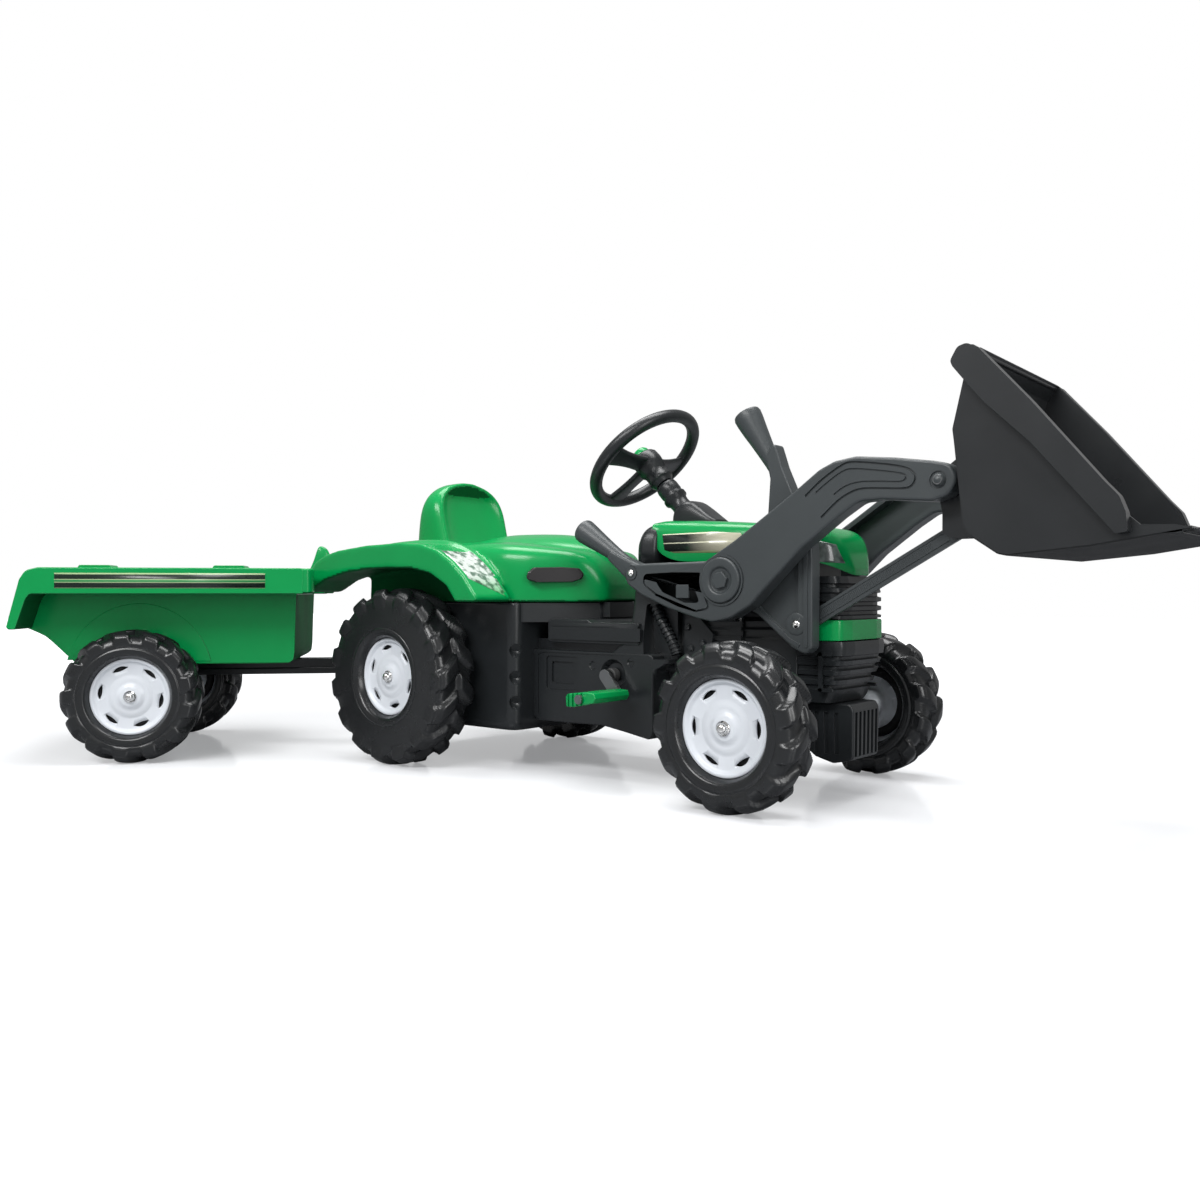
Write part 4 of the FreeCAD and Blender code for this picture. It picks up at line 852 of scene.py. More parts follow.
BP = [(996, 594), (979, 574), (962, 500), (964, 484), (975, 382), (981, 371), (1016, 347), (1027, 344.5), (1120, 353), (1222, 369)]
prof = rounded(BP, [0, 12, 9, 9, 9, 9, 9, 9, 0, 0], 4)
rows = []
for x, z in prof:
    row = []
    for k in range(-24, 25):
        y = 153 * k / 24.0
        row.append((x, y, z))
    rows.append(row)
bottom = sheet("bucket_skin", rows, 4.0, DARK)
side_pts = [(996, 594), (977, 572), (967, 532), (963, 496), (966, 450), (972, 405), (981, 372), (1000, 352), (1026, 344), (1080, 347), (1140, 354), (1190, 362), (1222, 369)]
RIM = [(996, 595), (1016, 570), (1060, 512), (1110, 446), (1150, 394), (1164, 376), (1206, 374), (1226, 371)]
pieces = [bottom]
for s in (-1, 1):
    outline = [p for p in prof] + [(1206, 373), (1172, 374), (1161, 384), (1152, 404), (1138, 423), (1059, 521), (998, 591)]
    side = prism("bucket_side", outline, s * 151, s * 155, DARK)
    pieces.append(side)
    # rim flange that turns outwards, then down over the wall
    FL = [(984, 599), (998, 592), (1059, 522), (1138, 424), (1154, 406), (1161, 388), (1163, 366), (1150, 364), (1136, 381), (1111, 411), (1059, 473), (1005, 526), (989, 545), (967, 573), (964, 580), (973, 596)]
    fl = prism("bucket_flange", rounded(FL, [10, 10, 4, 14, 14, 10, 3, 4, 6, 4, 4, 4, 6, 8, 8, 10]), s * 154, s * 172, DARK)
    inner = prism("fl_in", rounded([(984, 588), (1055, 514), (1133, 419), (1149, 400), (1156, 386), (1157, 372), (1140, 350), (1100, 393), (1050, 456), (995, 518), (975, 538), (955, 568), (970, 584)], 4), s * 153, s * 167.5, DARK)
    carve(fl, inner)
    bake(fl, ("BEVEL", {"width": 3, "segments": 3, "limit_method": "ANGLE", "angle_limit": math.radians(50)}))
    pieces.append(fl)
# rolled edge along the top of the back wall
pieces.append(tube("roll", [(990, y, 591) for y in range(-170, 171, 10)], 5.5, DARK, seg=16))
# toothed lip
lip = []
for k in range(9):
    y = -136 + 34 * k
    lip.append(prism("tooth", rounded([(1205, y - 8), (1228, y - 6), (1231, y), (1228, y + 6), (1205, y + 8)], 2), 364, 369.5, DARK, plane="XY"))
lip.append(boxy("lip", 1180, 1214, -153, 153, 363, 369, DARK))
for o in lip:
    bake(o, ("BEVEL", {"width": 1.2, "segments": 2, "limit_method": "ANGLE", "angle_limit": math.radians(50)}))
pieces += lip
# back bracket lugs
LUG = [(966, 482), (942, 464), (925, 449), (924, 430), (930, 402), (930, 376), (940, 368), (974, 368), (974, 410)]
for y0, y1 in ((-108.5, -100.5), (100.5, 108.5)):
    l = prism("lug", rounded(LUG, 8), y0, y1, DARK)
    pieces.append(l)
l = prism("lug", rounded([(966, 430), (932, 402), (930, 376), (940, 368), (974, 368), (974, 410)], 8), -92, -83, DARK)
pieces.append(l)
pieces.append(turned("pin", [(0, 0), (4.9, 0), (4.9, 17), (8.2, 17), (8.2, 20), (0, 20)], (942, -86, 381), (0, 1, 0), BLACK, seg=32))
bk = join("bucket_v", pieces)
# downward faces of the bucket get a darker, rougher black: painted shade on its underside, with a matte finish
BUCKET_SHADE_MATTE = material("matte_black_painted_under_shade", (0.008, 0.009, 0.010), 0.62, bump=0.05, spec=0.10)
bk.data.materials.append(BUCKET_SHADE_MATTE)
for poly in bk.data.polygons:
    if poly.normal.z < -0.7 and poly.center.z < 420:
        poly.material_index = len(bk.data.materials) - 1
finish(bk, "bucket", ["bucket"], soft=0.8, seg=2, angle=40)

# ------------------------------------------------------- hood and the nose
def taper_prism(name, pts, half, mat, r=None, bevel=5, seg=4, y0=None):
    """Prism across the machine whose half width changes along X: half(x, z)."""
    pts = rounded(pts, r, 6) if r else pts
    n = len(pts)
    verts = [(p[0], -half(p[0], p[1]), p[1]) for p in pts] + [(p[0], half(p[0], p[1]), p[1]) for p in pts]
    faces = [list(range(n)), list(range(2 * n - 1, n - 1, -1))] + [[i, (i + 1) % n, n + (i + 1) % n, n + i] for i in range(n)]
    o = mesh(name, verts, faces, mat)
    if bevel:
        bake(o, ("BEVEL", {"width": bevel, "segments": seg, "limit_method": "ANGLE", "angle_limit": math.radians(50)}))
    return o


def crowned(name, side, half_at, crown, mat, n=32):
    """Hood skin: for stations along X with top and bottom heights, a cross
    section with upright sides, generous shoulders and a slight crown."""
    loops = []
    for x, lo, hi in side:
        w = half_at(x)
        loop = []
        for k in range(n + 1):
            t = math.pi * k / n
            c, s = math.cos(t), math.sin(t)
            loop.append((x, w * math.copysign(abs(c) ** 0.26, c), lo + (hi - lo) * (abs(s) ** 0.42)))
        for k in range(1, 8):
            loop.append((x, -w + 2 * w * k / 8, lo))
        loops.append(loop)
    return rings(name, loops, mat)


hood_side = [(446, 398, 411), (452, 378, 413), (458, 366, 414), (470, 357, 414), (490, 350, 413), (520, 347, 412), (580, 347, 408), (640, 347, 403), (690, 346, 399), (722, 344, 394), (738, 340, 388), (750, 335, 378), (758, 330, 364), (764, 326, 348), (767, 324, 334)]


def hood_half(x):
    """Half width of the hood: nearly parallel, then a blunt rounded prow."""
    w = 79.5 - 6.6 * smoothstep(590, 700, x)
    if x > 700:
        w *= max(0.05, 1 - ((x - 700) / 71.0) ** 2.4) ** 0.60
    return w


hood = crowned("hood_v", [tuple(v) for v in smooth_line_nd([list(v) for v in hood_side], 4)], hood_half, 0, GREEN)
HOOD_TREE = tree_of(hood)
bake(hood, ("BEVEL", {"width": 3.0, "segments": 3, "limit_method": "ANGLE", "angle_limit": math.radians(50)}))
finish(hood, "chassis", ["hood"], soft=None)
hood.data.polygons.foreach_set("use_smooth", [True] * len(hood.data.polygons))


def decal_material(name, x0, x1, z_rows, cream=(0.62, 0.60, 0.44), dark=(0.012, 0.016, 0.014), base=(0.0, 0.235, 0.06), mode="hood"):
    """Printed stripes that fade from black towards cream along X."""
    m = bpy.data.materials.new(name)
    m.use_nodes = True
    nt = m.node_tree
    b = nt.nodes["Principled BSDF"]
    coord = nt.nodes.new("ShaderNodeTexCoord")
    sep = nt.nodes.new("ShaderNodeSeparateXYZ")
    nt.links.new(coord.outputs["Object"], sep.inputs[0])
    xr = nt.nodes.new("ShaderNodeMapRange")
    xr.inputs[1].default_value, xr.inputs[2].default_value = x0, x1
    nt.links.new(sep.outputs[0], xr.inputs[0])
    fade = nt.nodes.new("ShaderNodeValToRGB")
    fade.color_ramp.elements[0].position = 0.30
    fade.color_ramp.elements[0].color = (*dark, 1)
    fade.color_ramp.elements[1].position = 0.85
    fade.color_ramp.elements[1].color = (*cream, 1)
    nt.links.new(xr.outputs[0], fade.inputs[0])
    zr = nt.nodes.new("ShaderNodeMapRange")
    zr.inputs[1].default_value, zr.inputs[2].default_value = z_rows[0], z_rows[1]
    nt.links.new(sep.outputs[2], zr.inputs[0])
    rows = nt.nodes.new("ShaderNodeValToRGB")
    rows.color_ramp.interpolation = "CONSTANT"
    els = rows.color_ramp.elements
    els[0].position, els[0].color = 0.0, (0.30, 0.36, 0.18, 1)
    els[1].position, els[1].color = 0.05, (0, 0, 0, 1)
    for pos, v in ((0.47, 1.0), (0.53, 0.0), (0.95, 1.0)):
        e = els.new(pos)
        e.color = (v * 0.62, v * 0.62, v * 0.46, 1)
    nt.links.new(zr.outputs[0], rows.inputs[0])
    add = nt.nodes.new("ShaderNodeMix")
    add.data_type = "RGBA"
    add.blend_type = "LIGHTEN"
    add.inputs["Factor"].default_value = 1.0
    nt.links.new(fade.outputs[0], add.inputs[6])
    nt.links.new(rows.outputs[0], add.inputs[7])
    n = nt.nodes.new("ShaderNodeTexNoise")
    n.inputs["Scale"].default_value = 40
    rr = nt.nodes.new("ShaderNodeMapRange")
    rr.inputs["To Min"].default_value, rr.inputs["To Max"].default_value = 0.22, 0.36
    nt.links.new(n.outputs[0], rr.inputs[0])
    nt.links.new(rr.outputs[0], b.inputs["Roughness"])
    nt.links.new(add.outputs[2], b.inputs["Base Color"])
    b.inputs["Coat Weight"].default_value = 0.4
    return m


def foil(name, pts, y, s, mat, body="chassis", base=None, t=0.25, nodes=()):
    o = prism(name, pts, s * y, s * (y + t), mat)
    return finish(o, body, nodes, base=base)


HD = [(452, 396), (461, 403), (560, 400), (585, 396), (640, 393), (640, 354), (490, 357), (470, 363), (458, 377)]
for side, s in (("right", -1), ("left", 1)):
    dm = decal_material("hood_stripes_" + side, (455 * MM - OX), (650 * MM - OX), (0.362, 0.391))
    foil("hood_decal_%s_v" % side, rounded([(466, 391), (470, 366), (490, 361), (612, 359), (612, 388), (560, 392)], 3), 79.25, s, dm)

# grille, green band and lower nose, with ribs that wrap round the corners
def nose_block(name, x0, profile, half, mat, corner=14):
    """Stack of horizontal rounded-corner outlines: profile of (z, front x, half)."""
    loops = []
    for z, xf, h in profile:
        pts = rounded([(x0, -h), (xf - 4, -h), (xf, -h * 0.55), (xf, h * 0.55), (xf - 4, h), (x0, h)], [0.01, corner, 26, 26, corner, 0.01], 6)
        loops.append([(p[0], p[1], z) for p in pts])
    return rings(name, loops, mat)


prof = []
z = 262.0
ribs = [(262, 0), (266, 0), (267.5, -5), (272, -5), (273.5, 0), (279, 0), (280.5, -5), (285, -5), (286.5, 0), (292, 0), (293.5, -5), (298, -5), (299.5, 0), (305, 0), (306.5, -5), (311, -5), (312.5, 0), (322.4, 0)]
for zz, dx in ribs:
    lean = -7.0 * smoothstep(295, 322, zz)
    prof.append((zz, 771.5 + dx + lean, 71.5 + dx * 0.5))
grille = nose_block("grille_upper", 700.4, prof, 72, BLACK)
prof = []
low = [(141, -27), (148, -23), (156, -20), (160, -18), (161.5, -23), (166, -22), (167.5, -15), (174, -13), (175.5, -18), (180, -17), (181.5, -10), (188, -8), (189.5, -13), (194, -12), (195.5, -6), (202, -4), (203.5, -8), (208, -7), (209.5, -1), (218, 0), (224, 0), (229.5, -1)]
for zz, dx in low:
    prof.append((zz, 776 + dx, 72.3 + dx * 0.45))
lower = nose_block("grille_lower", 700.4, prof, 72, BLACK)
frame_g = [grille, lower, boxy("grille_core", 700.4, 762, -64, 64, 229, 263, BLACK)]
# upright frame that stands proud round the ribs on each side
for s in (-1, 1):
    frame_g.append(prism("upright", rounded([(735, 158), (741, 158), (741, 214), (735, 214)], 2), s * 69, s * 72.6, BLACK))
    frame_g.append(prism("upright", rounded([(735, 158), (757, 158), (757, 163), (735, 163)], 2), s * 69, s * 72.6, BLACK))
    frame_g.append(prism("upright", rounded([(735, 209), (757, 209), (757, 214), (735, 214)], 2), s * 69, s * 72.6, BLACK))
g = join("front_grille_v", frame_g)
finish(g, "chassis", ["front_grille"], soft=0.8, seg=2, angle=40)
b = nose_block("front_band_v", 700.4, [(230.4, 770, 71.2), (231.5, 772.0, 72.2), (258, 772.0, 72.2), (260.0, 770.5, 71.4)], 72, GREEN)
finish(b, "chassis", ["front_band"], soft=0.8, seg=3, angle=40)

# ribbed weight under the nose
wt = taper_prism("weight", [(700.4, 70), (700.4, 139.8), (770, 139.8), (775, 130), (774, 60), (742, 52.5), (714, 60)], lambda x, z: 43 - 2.0 * (139 - z) / 87, BLACK, r=[4, 4, 6, 10, 8, 14, 10], bevel=3)
cut = []
for k in range(6):
    y = -32.5 + 13 * k
    cut.append(boxy("groove", 769.5, 782, y - 3.4, y + 3.4, 64, 128, BLACK))
for s in (-1, 1):
    for x in (716, 732, 748):
        cut.append(boxy("groove", x - 3.6, x + 3.6, s * 39.5, s * 50, 66, 126, BLACK))
carve(wt, join("grooves", cut))
wt = join("front_weight_v", [wt])
finish(wt, "chassis", ["front_weight"], soft=0.9, seg=2, angle=35)

# headlight stickers that wrap the front corners
def lamp_material():
    m = bpy.data.materials.new("headlight_print")
    m.use_nodes = True
    nt = m.node_tree
    b = nt.nodes["Principled BSDF"]
    coord = nt.nodes.new("ShaderNodeTexCoord")
    v = nt.nodes.new("ShaderNodeTexNoise")
    v.inputs["Scale"].default_value = 55
    v.inputs["Detail"].default_value = 2
    nt.links.new(coord.outputs["Object"], v.inputs["Vector"])
    r = nt.nodes.new("ShaderNodeValToRGB")
    r.color_ramp.elements[0].position, r.color_ramp.elements[0].color = 0.42, (0.030, 0.045, 0.040, 1)
    r.color_ramp.elements[1].position, r.color_ramp.elements[1].color = 0.62, (0.13, 0.17, 0.15, 1)
    nt.links.new(v.outputs[0], r.inputs[0])
    nt.links.new(r.outputs[0], b.inputs["Base Color"])
    b.inputs["Roughness"].default_value = 0.24
    b.inputs["Coat Weight"].default_value = 0.5
    return m


LAMP = lamp_material()
for side, s in (("right", -1), ("left", 1)):
    stick("headlight_%s_v" % side, HOOD_TREE, [(722, s * 130, 376), (751, s * 130, 368), (760, s * 130, 341), (716, s * 130, 344)], (0, -s, 0), LAMP, lift=0.4)

# dash cowl: black rounded shroud in front of the driver
cw = dome("dash_cowl_v", spread([(421, 60, 352, 372), (423, 84, 347, 388), (428, 90, 346, 399), (434, 92, 346, 406), (442, 91, 346, 409.5), (452, 88, 347, 408), (456, 84, 349, 405)], 4), BLACK, e1=0.35, e2=0.45)
finish(cw, "chassis", ["dash_cowl"], soft=None)

# --------------------------------------------------------- steering column
WC = Vector((372, 0, 524))
UP = Vector(JOINTS["steering_turn"]["axis"])
FW = Vector((UP.z, 0, -UP.x))


def S(x, y, z):
    """Steering frame to machine frame: z up the column, x forward and up."""
    return WC + FW * x + Vector((0, 1, 0)) * y + UP * z


wheel = []
loops = []
for k in range(96):
    a = 2 * math.pi * k / 96
    c = Vector((math.cos(a), math.sin(a)))
    loop = []
    for j in range(20):
        b2 = 2 * math.pi * j / 20
        rr = 97 + 10.6 * math.cos(b2)
        zz = 10.6 * math.sin(b2)
        loop.append(tuple(S(c.x * rr, c.y * rr, zz)))
    loops.append(loop)
wheel.append(rings("wheel_rim", loops, BLACK, cap=False, closed=True))
for a in (180.0, 90.0, -90.0):
    ar = math.radians(a)
    path, rad = [], []
    for k in range(9):
        t = k / 8
        r = 16 + 76 * t
        path.append(S(r * math.cos(ar), r * math.sin(ar), -14 + 12 * t))
        rad.append(12.5 - 2.0 * math.sin(math.pi * t) + 4.0 * t ** 2)
    loops = []
    for i, p in enumerate(path):
        u = Vector((0, 1, 0)) * math.cos(ar) - FW * math.sin(ar)
        loops.append([tuple(p + u * rad[i] * 1.25 * math.copysign(abs(math.cos(q)) ** 0.6, math.cos(q)) + UP * 5.0 * math.copysign(abs(math.sin(q)) ** 0.7, math.sin(q))) for q in [2 * math.pi * j / 20 for j in range(20)]])
    wheel.append(rings("spoke", loops, BLACK))
hub = turned("hub", [(0, -3.5), (15.6, -3.5), (15.6, 3), (17, 4.2), (21, 3.6), (23.5, 0), (24.5, -12), (23, -26), (20, -31), (19.5, -44), (21, -46), (21, -52), (18.5, -54), (15.5, -61), (0, -61)], S(0, 0, 0), UP, BLACK, seg=48)
wheel.append(hub)
w = join("steering_wheel_v", wheel)
finish(w, "steering", ["steering_wheel"])
w.data.polygons.foreach_set("use_smooth", [True] * len(w.data.polygons))
m = w.modifiers.new("split", "EDGE_SPLIT")
m.split_angle = math.radians(50)
hb = turned("horn_button_v", [(0, 19.5), (8, 19.2), (12.4, 17.4), (14.6, 14.0), (15.3, 9.5), (15.4, 0.6), (0, 0.6)], S(0, 0, 0), UP, GREEN, seg=40)
finish(hb, "horn", ["horn_button"])
sleeve = turned("sleeve", [(6.1, -63), (14, -63), (17.5, -65), (18.5, -70), (18.5, -82), (17, -84.5), (17, -88), (20, -90.5), (20, -96), (16.5, -99), (15.5, -108), (16.5, -118), (21, -128), (25, -136), (6.1, -137)], S(0, 0, 0), UP, BLACK, seg=48, closed=True)
foot = dome("foot", spread([(444, 20, 409, 428), (450, 26, 409, 438), (464, 29, 409, 447), (480, 29, 409, 447), (498, 28, 409, 436), (514, 26, 409, 424), (526, 20, 409, 416)], 4), BLACK, e1=0.45, e2=0.55)
hs = join("column_housing_v", [sleeve, foot])
finish(hs, "chassis", ["column_housing"])
hs.data.polygons.foreach_set("use_smooth", [True] * len(hs.data.polygons))
m = hs.modifiers.new("split", "EDGE_SPLIT")
m.split_angle = math.radians(50)

# ------------------------------------------------------------ trailer tub
def xy_ring(x0, x1, half, z, r=14, seg=5):
    pts = rounded([(x0, -half), (x1, -half), (x1, half), (x0, half)], r, seg)
    return [(p[0], p[1], z) for p in pts]


tub = []
run_line = smooth_line([(a, b, 0) for a, b in [(-427.5, 341), (-428.5, 296), (-430.5, 220), (-432, 186), (-438, 174), (-452, 171.5), (-560, 171.5), (-700, 171.5), (-790, 171.5), (-806, 174), (-820, 186), (-856, 221), (-876, 232), (-894, 240)]], 4)
rows = [[(p[0], 158 * k / 12.0, p[1]) for k in range(-12, 13)] for p in run_line]
floor_sheet = sheet("tub_floor", rows, 4.2, GREEN)
tub.append(floor_sheet)
for s in (-1, 1):
    wall = prism("tub_wall", rounded([(-424, 342), (-431, 171), (-806, 171), (-856, 220), (-893, 239), (-870, 325), (-858, 342)], [2, 12, 14, 10, 6, 10, 4], 5), s * 155.5, s * 160, GREEN)
    tub.append(wall)
    # shallow swelling over the wheel
    arc = [(-700.5 + 128 * math.cos(math.radians(a)), 140 + 140 * math.sin(math.radians(a))) for a in range(14, 167, 6)]
    sw = prism("swell", arc, s * 158, s * 161.2, GREEN)
    bake(sw, ("BEVEL", {"width": 1.15, "segments": 3, "limit_method": "ANGLE", "angle_limit": math.radians(50)}))
    tub.append(sw)
    FLA = [(-405, 297), (-404, 343), (-846, 343), (-866, 338), (-876, 322), (-897, 240), (-893, 236), (-882, 236), (-866, 286), (-860, 297)]
    fl = prism("flange", rounded(FLA, [3, 6, 14, 18, 16, 4, 3, 4, 12, 12], 6), s * 156, s * 240, GREEN)
    bake(fl, ("BEVEL", {"width": 6, "segments": 5, "limit_method": "ANGLE", "angle_limit": math.radians(50)}))
    inner = prism("flange_in", rounded([(-398, 280), (-400, 338), (-848, 338), (-862, 333), (-871, 320), (-893, 232), (-900, 225), (-880, 225), (-850, 280)], 8), s * 150, s * 236, GREEN)
    carve(fl, inner)
    tub.append(fl)
    for x0, x1 in ((-787, -730), (-563, -505)):
        p = prism("pad", rounded([(x0, 342), (x0 + 4, 347.6), (x1 - 4, 347.6), (x1, 342)], 2), s * 176, s * 226, GREEN)
        bake(p, ("BEVEL", {"width": 2.5, "segments": 3, "limit_method": "ANGLE", "angle_limit": math.radians(40)}))
        tub.append(p)
for s in (-1, 1):
    lip = prism("lip", rounded([(-412, s * 184), (-396, s * 185), (-389, s * 200), (-389, s * 226), (-394, s * 238), (-412, s * 240)], [0, 8, 8, 10, 8, 0], 5), 298, 342.6, GREEN, plane="XY")
    bake(lip, ("BEVEL", {"width": 4, "segments": 4, "limit_method": "ANGLE", "angle_limit": math.radians(50)}))
    tub.append(lip)
front = prism("front_rim", rounded([(-434, 343.2), (-424.5, 343.2), (-424.5, 300), (-427, 297), (-429, 297), (-430, 338), (-434, 338)], 2), -156, 156, GREEN)
tub.append(front)
knob = dome("knob", spread([(-429, 7, 300, 342), (-420, 8, 300, 343), (-411, 8.5, 300, 362), (-402, 9.5, 300, 388), (-394, 10, 300, 392), (-384, 9.5, 302, 386), (-378, 8.5, 304, 372), (-374, 7, 310, 350)], 5), GREEN, e1=0.6, e2=0.6)
tub.append(knob)
t = join("trailer_tub_v", tub)
# painted shade: the tub's downward faces and its lower front wall get the darker green
shade_under(t, lambda c, n: n.z < -0.5 or (n.x > 0.6 and c.z < 300) )
finish(t, "trailer", ["trailer_tub"], soft=0.8, seg=2, base=TOWED, angle=40)

# printed double stripe on each flange
def stripe_material():
    m = bpy.data.materials.new("flange_stripes")
    m.use_nodes = True
    nt = m.node_tree
    b = nt.nodes["Principled BSDF"]
    coord = nt.nodes.new("ShaderNodeTexCoord")
    sep = nt.nodes.new("ShaderNodeSeparateXYZ")
    nt.links.new(coord.outputs["Object"], sep.inputs[0])
    zr = nt.nodes.new("ShaderNodeMapRange")
    zr.inputs[1].default_value, zr.inputs[2].default_value = 0.306, 0.334
    nt.links.new(sep.outputs[2], zr.inputs[0])
    rows = nt.nodes.new("ShaderNodeValToRGB")
    rows.color_ramp.interpolation = "CONSTANT"
    els = rows.color_ramp.elements
    pale, dark, green = (0.30, 0.42, 0.22, 1), (0.006, 0.016, 0.010, 1), (0.0, 0.235, 0.06, 1)
    els[0].position, els[0].color = 0.0, pale
    els[1].position, els[1].color = 0.07, dark
    for pos, c in ((0.36, pale), (0.43, green), (0.53, pale), (0.60, dark), (0.89, pale), (0.955, pale)):
        els.new(pos).color = c
    nt.links.new(zr.outputs[0], rows.inputs[0])
    nt.links.new(rows.outputs[0], b.inputs["Base Color"])
    n = nt.nodes.new("ShaderNodeTexNoise")
    n.inputs["Scale"].default_value = 60
    rr = nt.nodes.new("ShaderNodeMapRange")
    rr.inputs["To Min"].default_value, rr.inputs["To Max"].default_value = 0.22, 0.36
    nt.links.new(n.outputs[0], rr.inputs[0])
    nt.links.new(rr.outputs[0], b.inputs["Roughness"])
    return m


STRIPE = stripe_material()
for side, s in (("right", -1), ("left", 1)):
    foil("trailer_stripes_%s_v" % side, [(-819, 307), (-470, 307), (-470, 333.5), (-819, 333.5)], 240.05, s, STRIPE, body="trailer", base=TOWED)

# trailer beam and axle block
tf = [prism("beam", rounded([(-728, -20), (-246, -20), (-226, -13), (-190, -16), (-184, 0), (-190, 16), (-226, 13), (-246, 20), (-728, 20)], 6), 139, 151, BLACK, plane="XY"),
      boxy("beam2", -725, -252, -16, 16, 150, 169.5, BLACK), boxy("block", -717, -684, -150, 150, 104, 169.5, BLACK)]
carve(tf[0], turned("eye", [(0, 120), (6.06, 120), (6.06, 170), (0, 170)], (-200, 0, 0), (0, 0, 1), BLACK, seg=32))
tf = join("trailer_frame_v", tf)
finish(tf, "trailer", ["trailer_frame"], soft=2.0, seg=3, base=TOWED)

# ---------------------------------------------------------------- chassis
ch = []
ped = rings("pedestal", [[(p[0], p[1], z) for p in rounded([(-150 + d, -165 + d), (226 - d, -165 + d), (226 - d, 165 - d), (-150 + d, 165 - d)], 20, 6)]
                         for z, d in ((68, 10), (70, 5), (75, 2), (84, 0), (180, 0), (278, 0), (281.8, 2))], BLACK)
cuts = []
for s in (-1, 1):
    for z in (202, 157, 115):
        cuts.append(turned("dimple", [(0, -11), (8, -10), (11, -6), (12, 10), (0, 10)], (226 - 2, s * (165 - 4), z), (1, s * 1.0, -0.9), BLACK, seg=28))
carve(ped, join("dimples", cuts))
ch.append(ped)
# block under the nose with its small step
blk = rings("nose_block", [[(p[0], p[1], z) for p in rounded([(200, -150), (226, -150), (306, -62), (318, -50), (318, 50), (306, 62), (226, 150), (200, 150)], 10, 4)] for z in (250, 281.8)], BLACK)
ch.append(blk)
ch.append(boxy("step", 316, 333, -46, 46, 258, 283, BLACK))
# tunnel with the drive panel on its side
TUN = [(222, 92), (232, 84), (300, 84), (372, 86), (424, 78), (470, 70), (476, 84), (476, 204), (222, 204)]
tun = prism("tunnel", rounded(TUN, [4, 8, 30, 30, 20, 8, 6, 10, 4], 5), -118, 118, BLACK)
bake(tun, ("BEVEL", {"width": 6, "segments": 4, "limit_method": "ANGLE", "angle_limit": math.radians(50)}))
cuts = []
for s in (-1, 1):
    cuts.append(prism("well", rounded([(254, 138), (324, 138), (324, 194), (254, 194)], 6), s * 115.6, s * 122, BLACK))
    cuts.append(prism("well2", rounded([(264, 148), (314, 148), (314, 185), (264, 185)], 5), s * 112.4, s * 122, BLACK))
    cuts.append(turned("crank_hole", [(0, 0), (19, 0), (25, 8), (26.5, 14), (0, 14)], (397, s * 109, 168), (0, s, 0), BLACK, seg=40))
    for x, z in ((355, 181), (433, 189)):
        cuts.append(turned("dim", [(0, 0), (5.5, 0), (8.5, 4), (0, 4)], (x, s * 115.6, z), (0, s, 0), BLACK, seg=24))
    cuts.append(prism("gr", band([(236, 96), (236, 196), (250, 199), (420, 199)], 2.0), s * 116.8, s * 121, BLACK))
for c in cuts:
    carve(tun, c)
ch.append(tun)
# channel and the foot step above it
ch.append(boxy("channel", 226, 440, -106, 106, 198, 222, BLACK))
slab = prism("slab", rounded([(259, 217), (259, 250), (268, 255), (345, 255), (352, 251), (450, 251), (450, 217)], [8, 5, 5, 4, 4, 2, 2], 4), -120, 120, BLACK)
bake(slab, ("BEVEL", {"width": 4, "segments": 4, "limit_method": "ANGLE", "angle_limit": math.radians(50)}))
for s in (-1, 1):
    carve(slab, prism("panel", rounded([(266, 222), (266, 243), (455, 243), (455, 222)], 3), s * 117.5, s * 123, BLACK))
ch.append(slab)
# dash column, curved where it rises from the tunnel
def dash_ring(z):
    xl = 427 - 40 * (1 - smoothstep(196, 232, z)) + 12 * smoothstep(300, 346, z)
    if z < 196:
        xl = 440
    xr = 474 + 4 * smoothstep(120, 200, z) + 24 * smoothstep(176, 190, z) - 6 * smoothstep(285, 346, z)
    h = 117.5 - 13.5 * smoothstep(215, 300, z) - 4 * smoothstep(320, 346, z)
    return [(p[0], p[1], z) for p in rounded([(xl, -h), (xr, -h), (xr, h), (xl, h)], 9, 5)]


dash = rings("dash", [dash_ring(z) for z in (76, 90, 120, 150, 170, 180, 190, 196.1, 202, 208, 214, 220, 228, 240, 255, 270, 285, 300, 315, 330, 340, 346)], BLACK)
cuts = []
for s in (-1, 1):
    cuts.append(prism("bay", rounded([(458, 196), (530, 196), (530, 282), (455, 282)], 6), s * 88, s * 130, BLACK))
carve(dash, join("bays", cuts))
ch.append(dash)
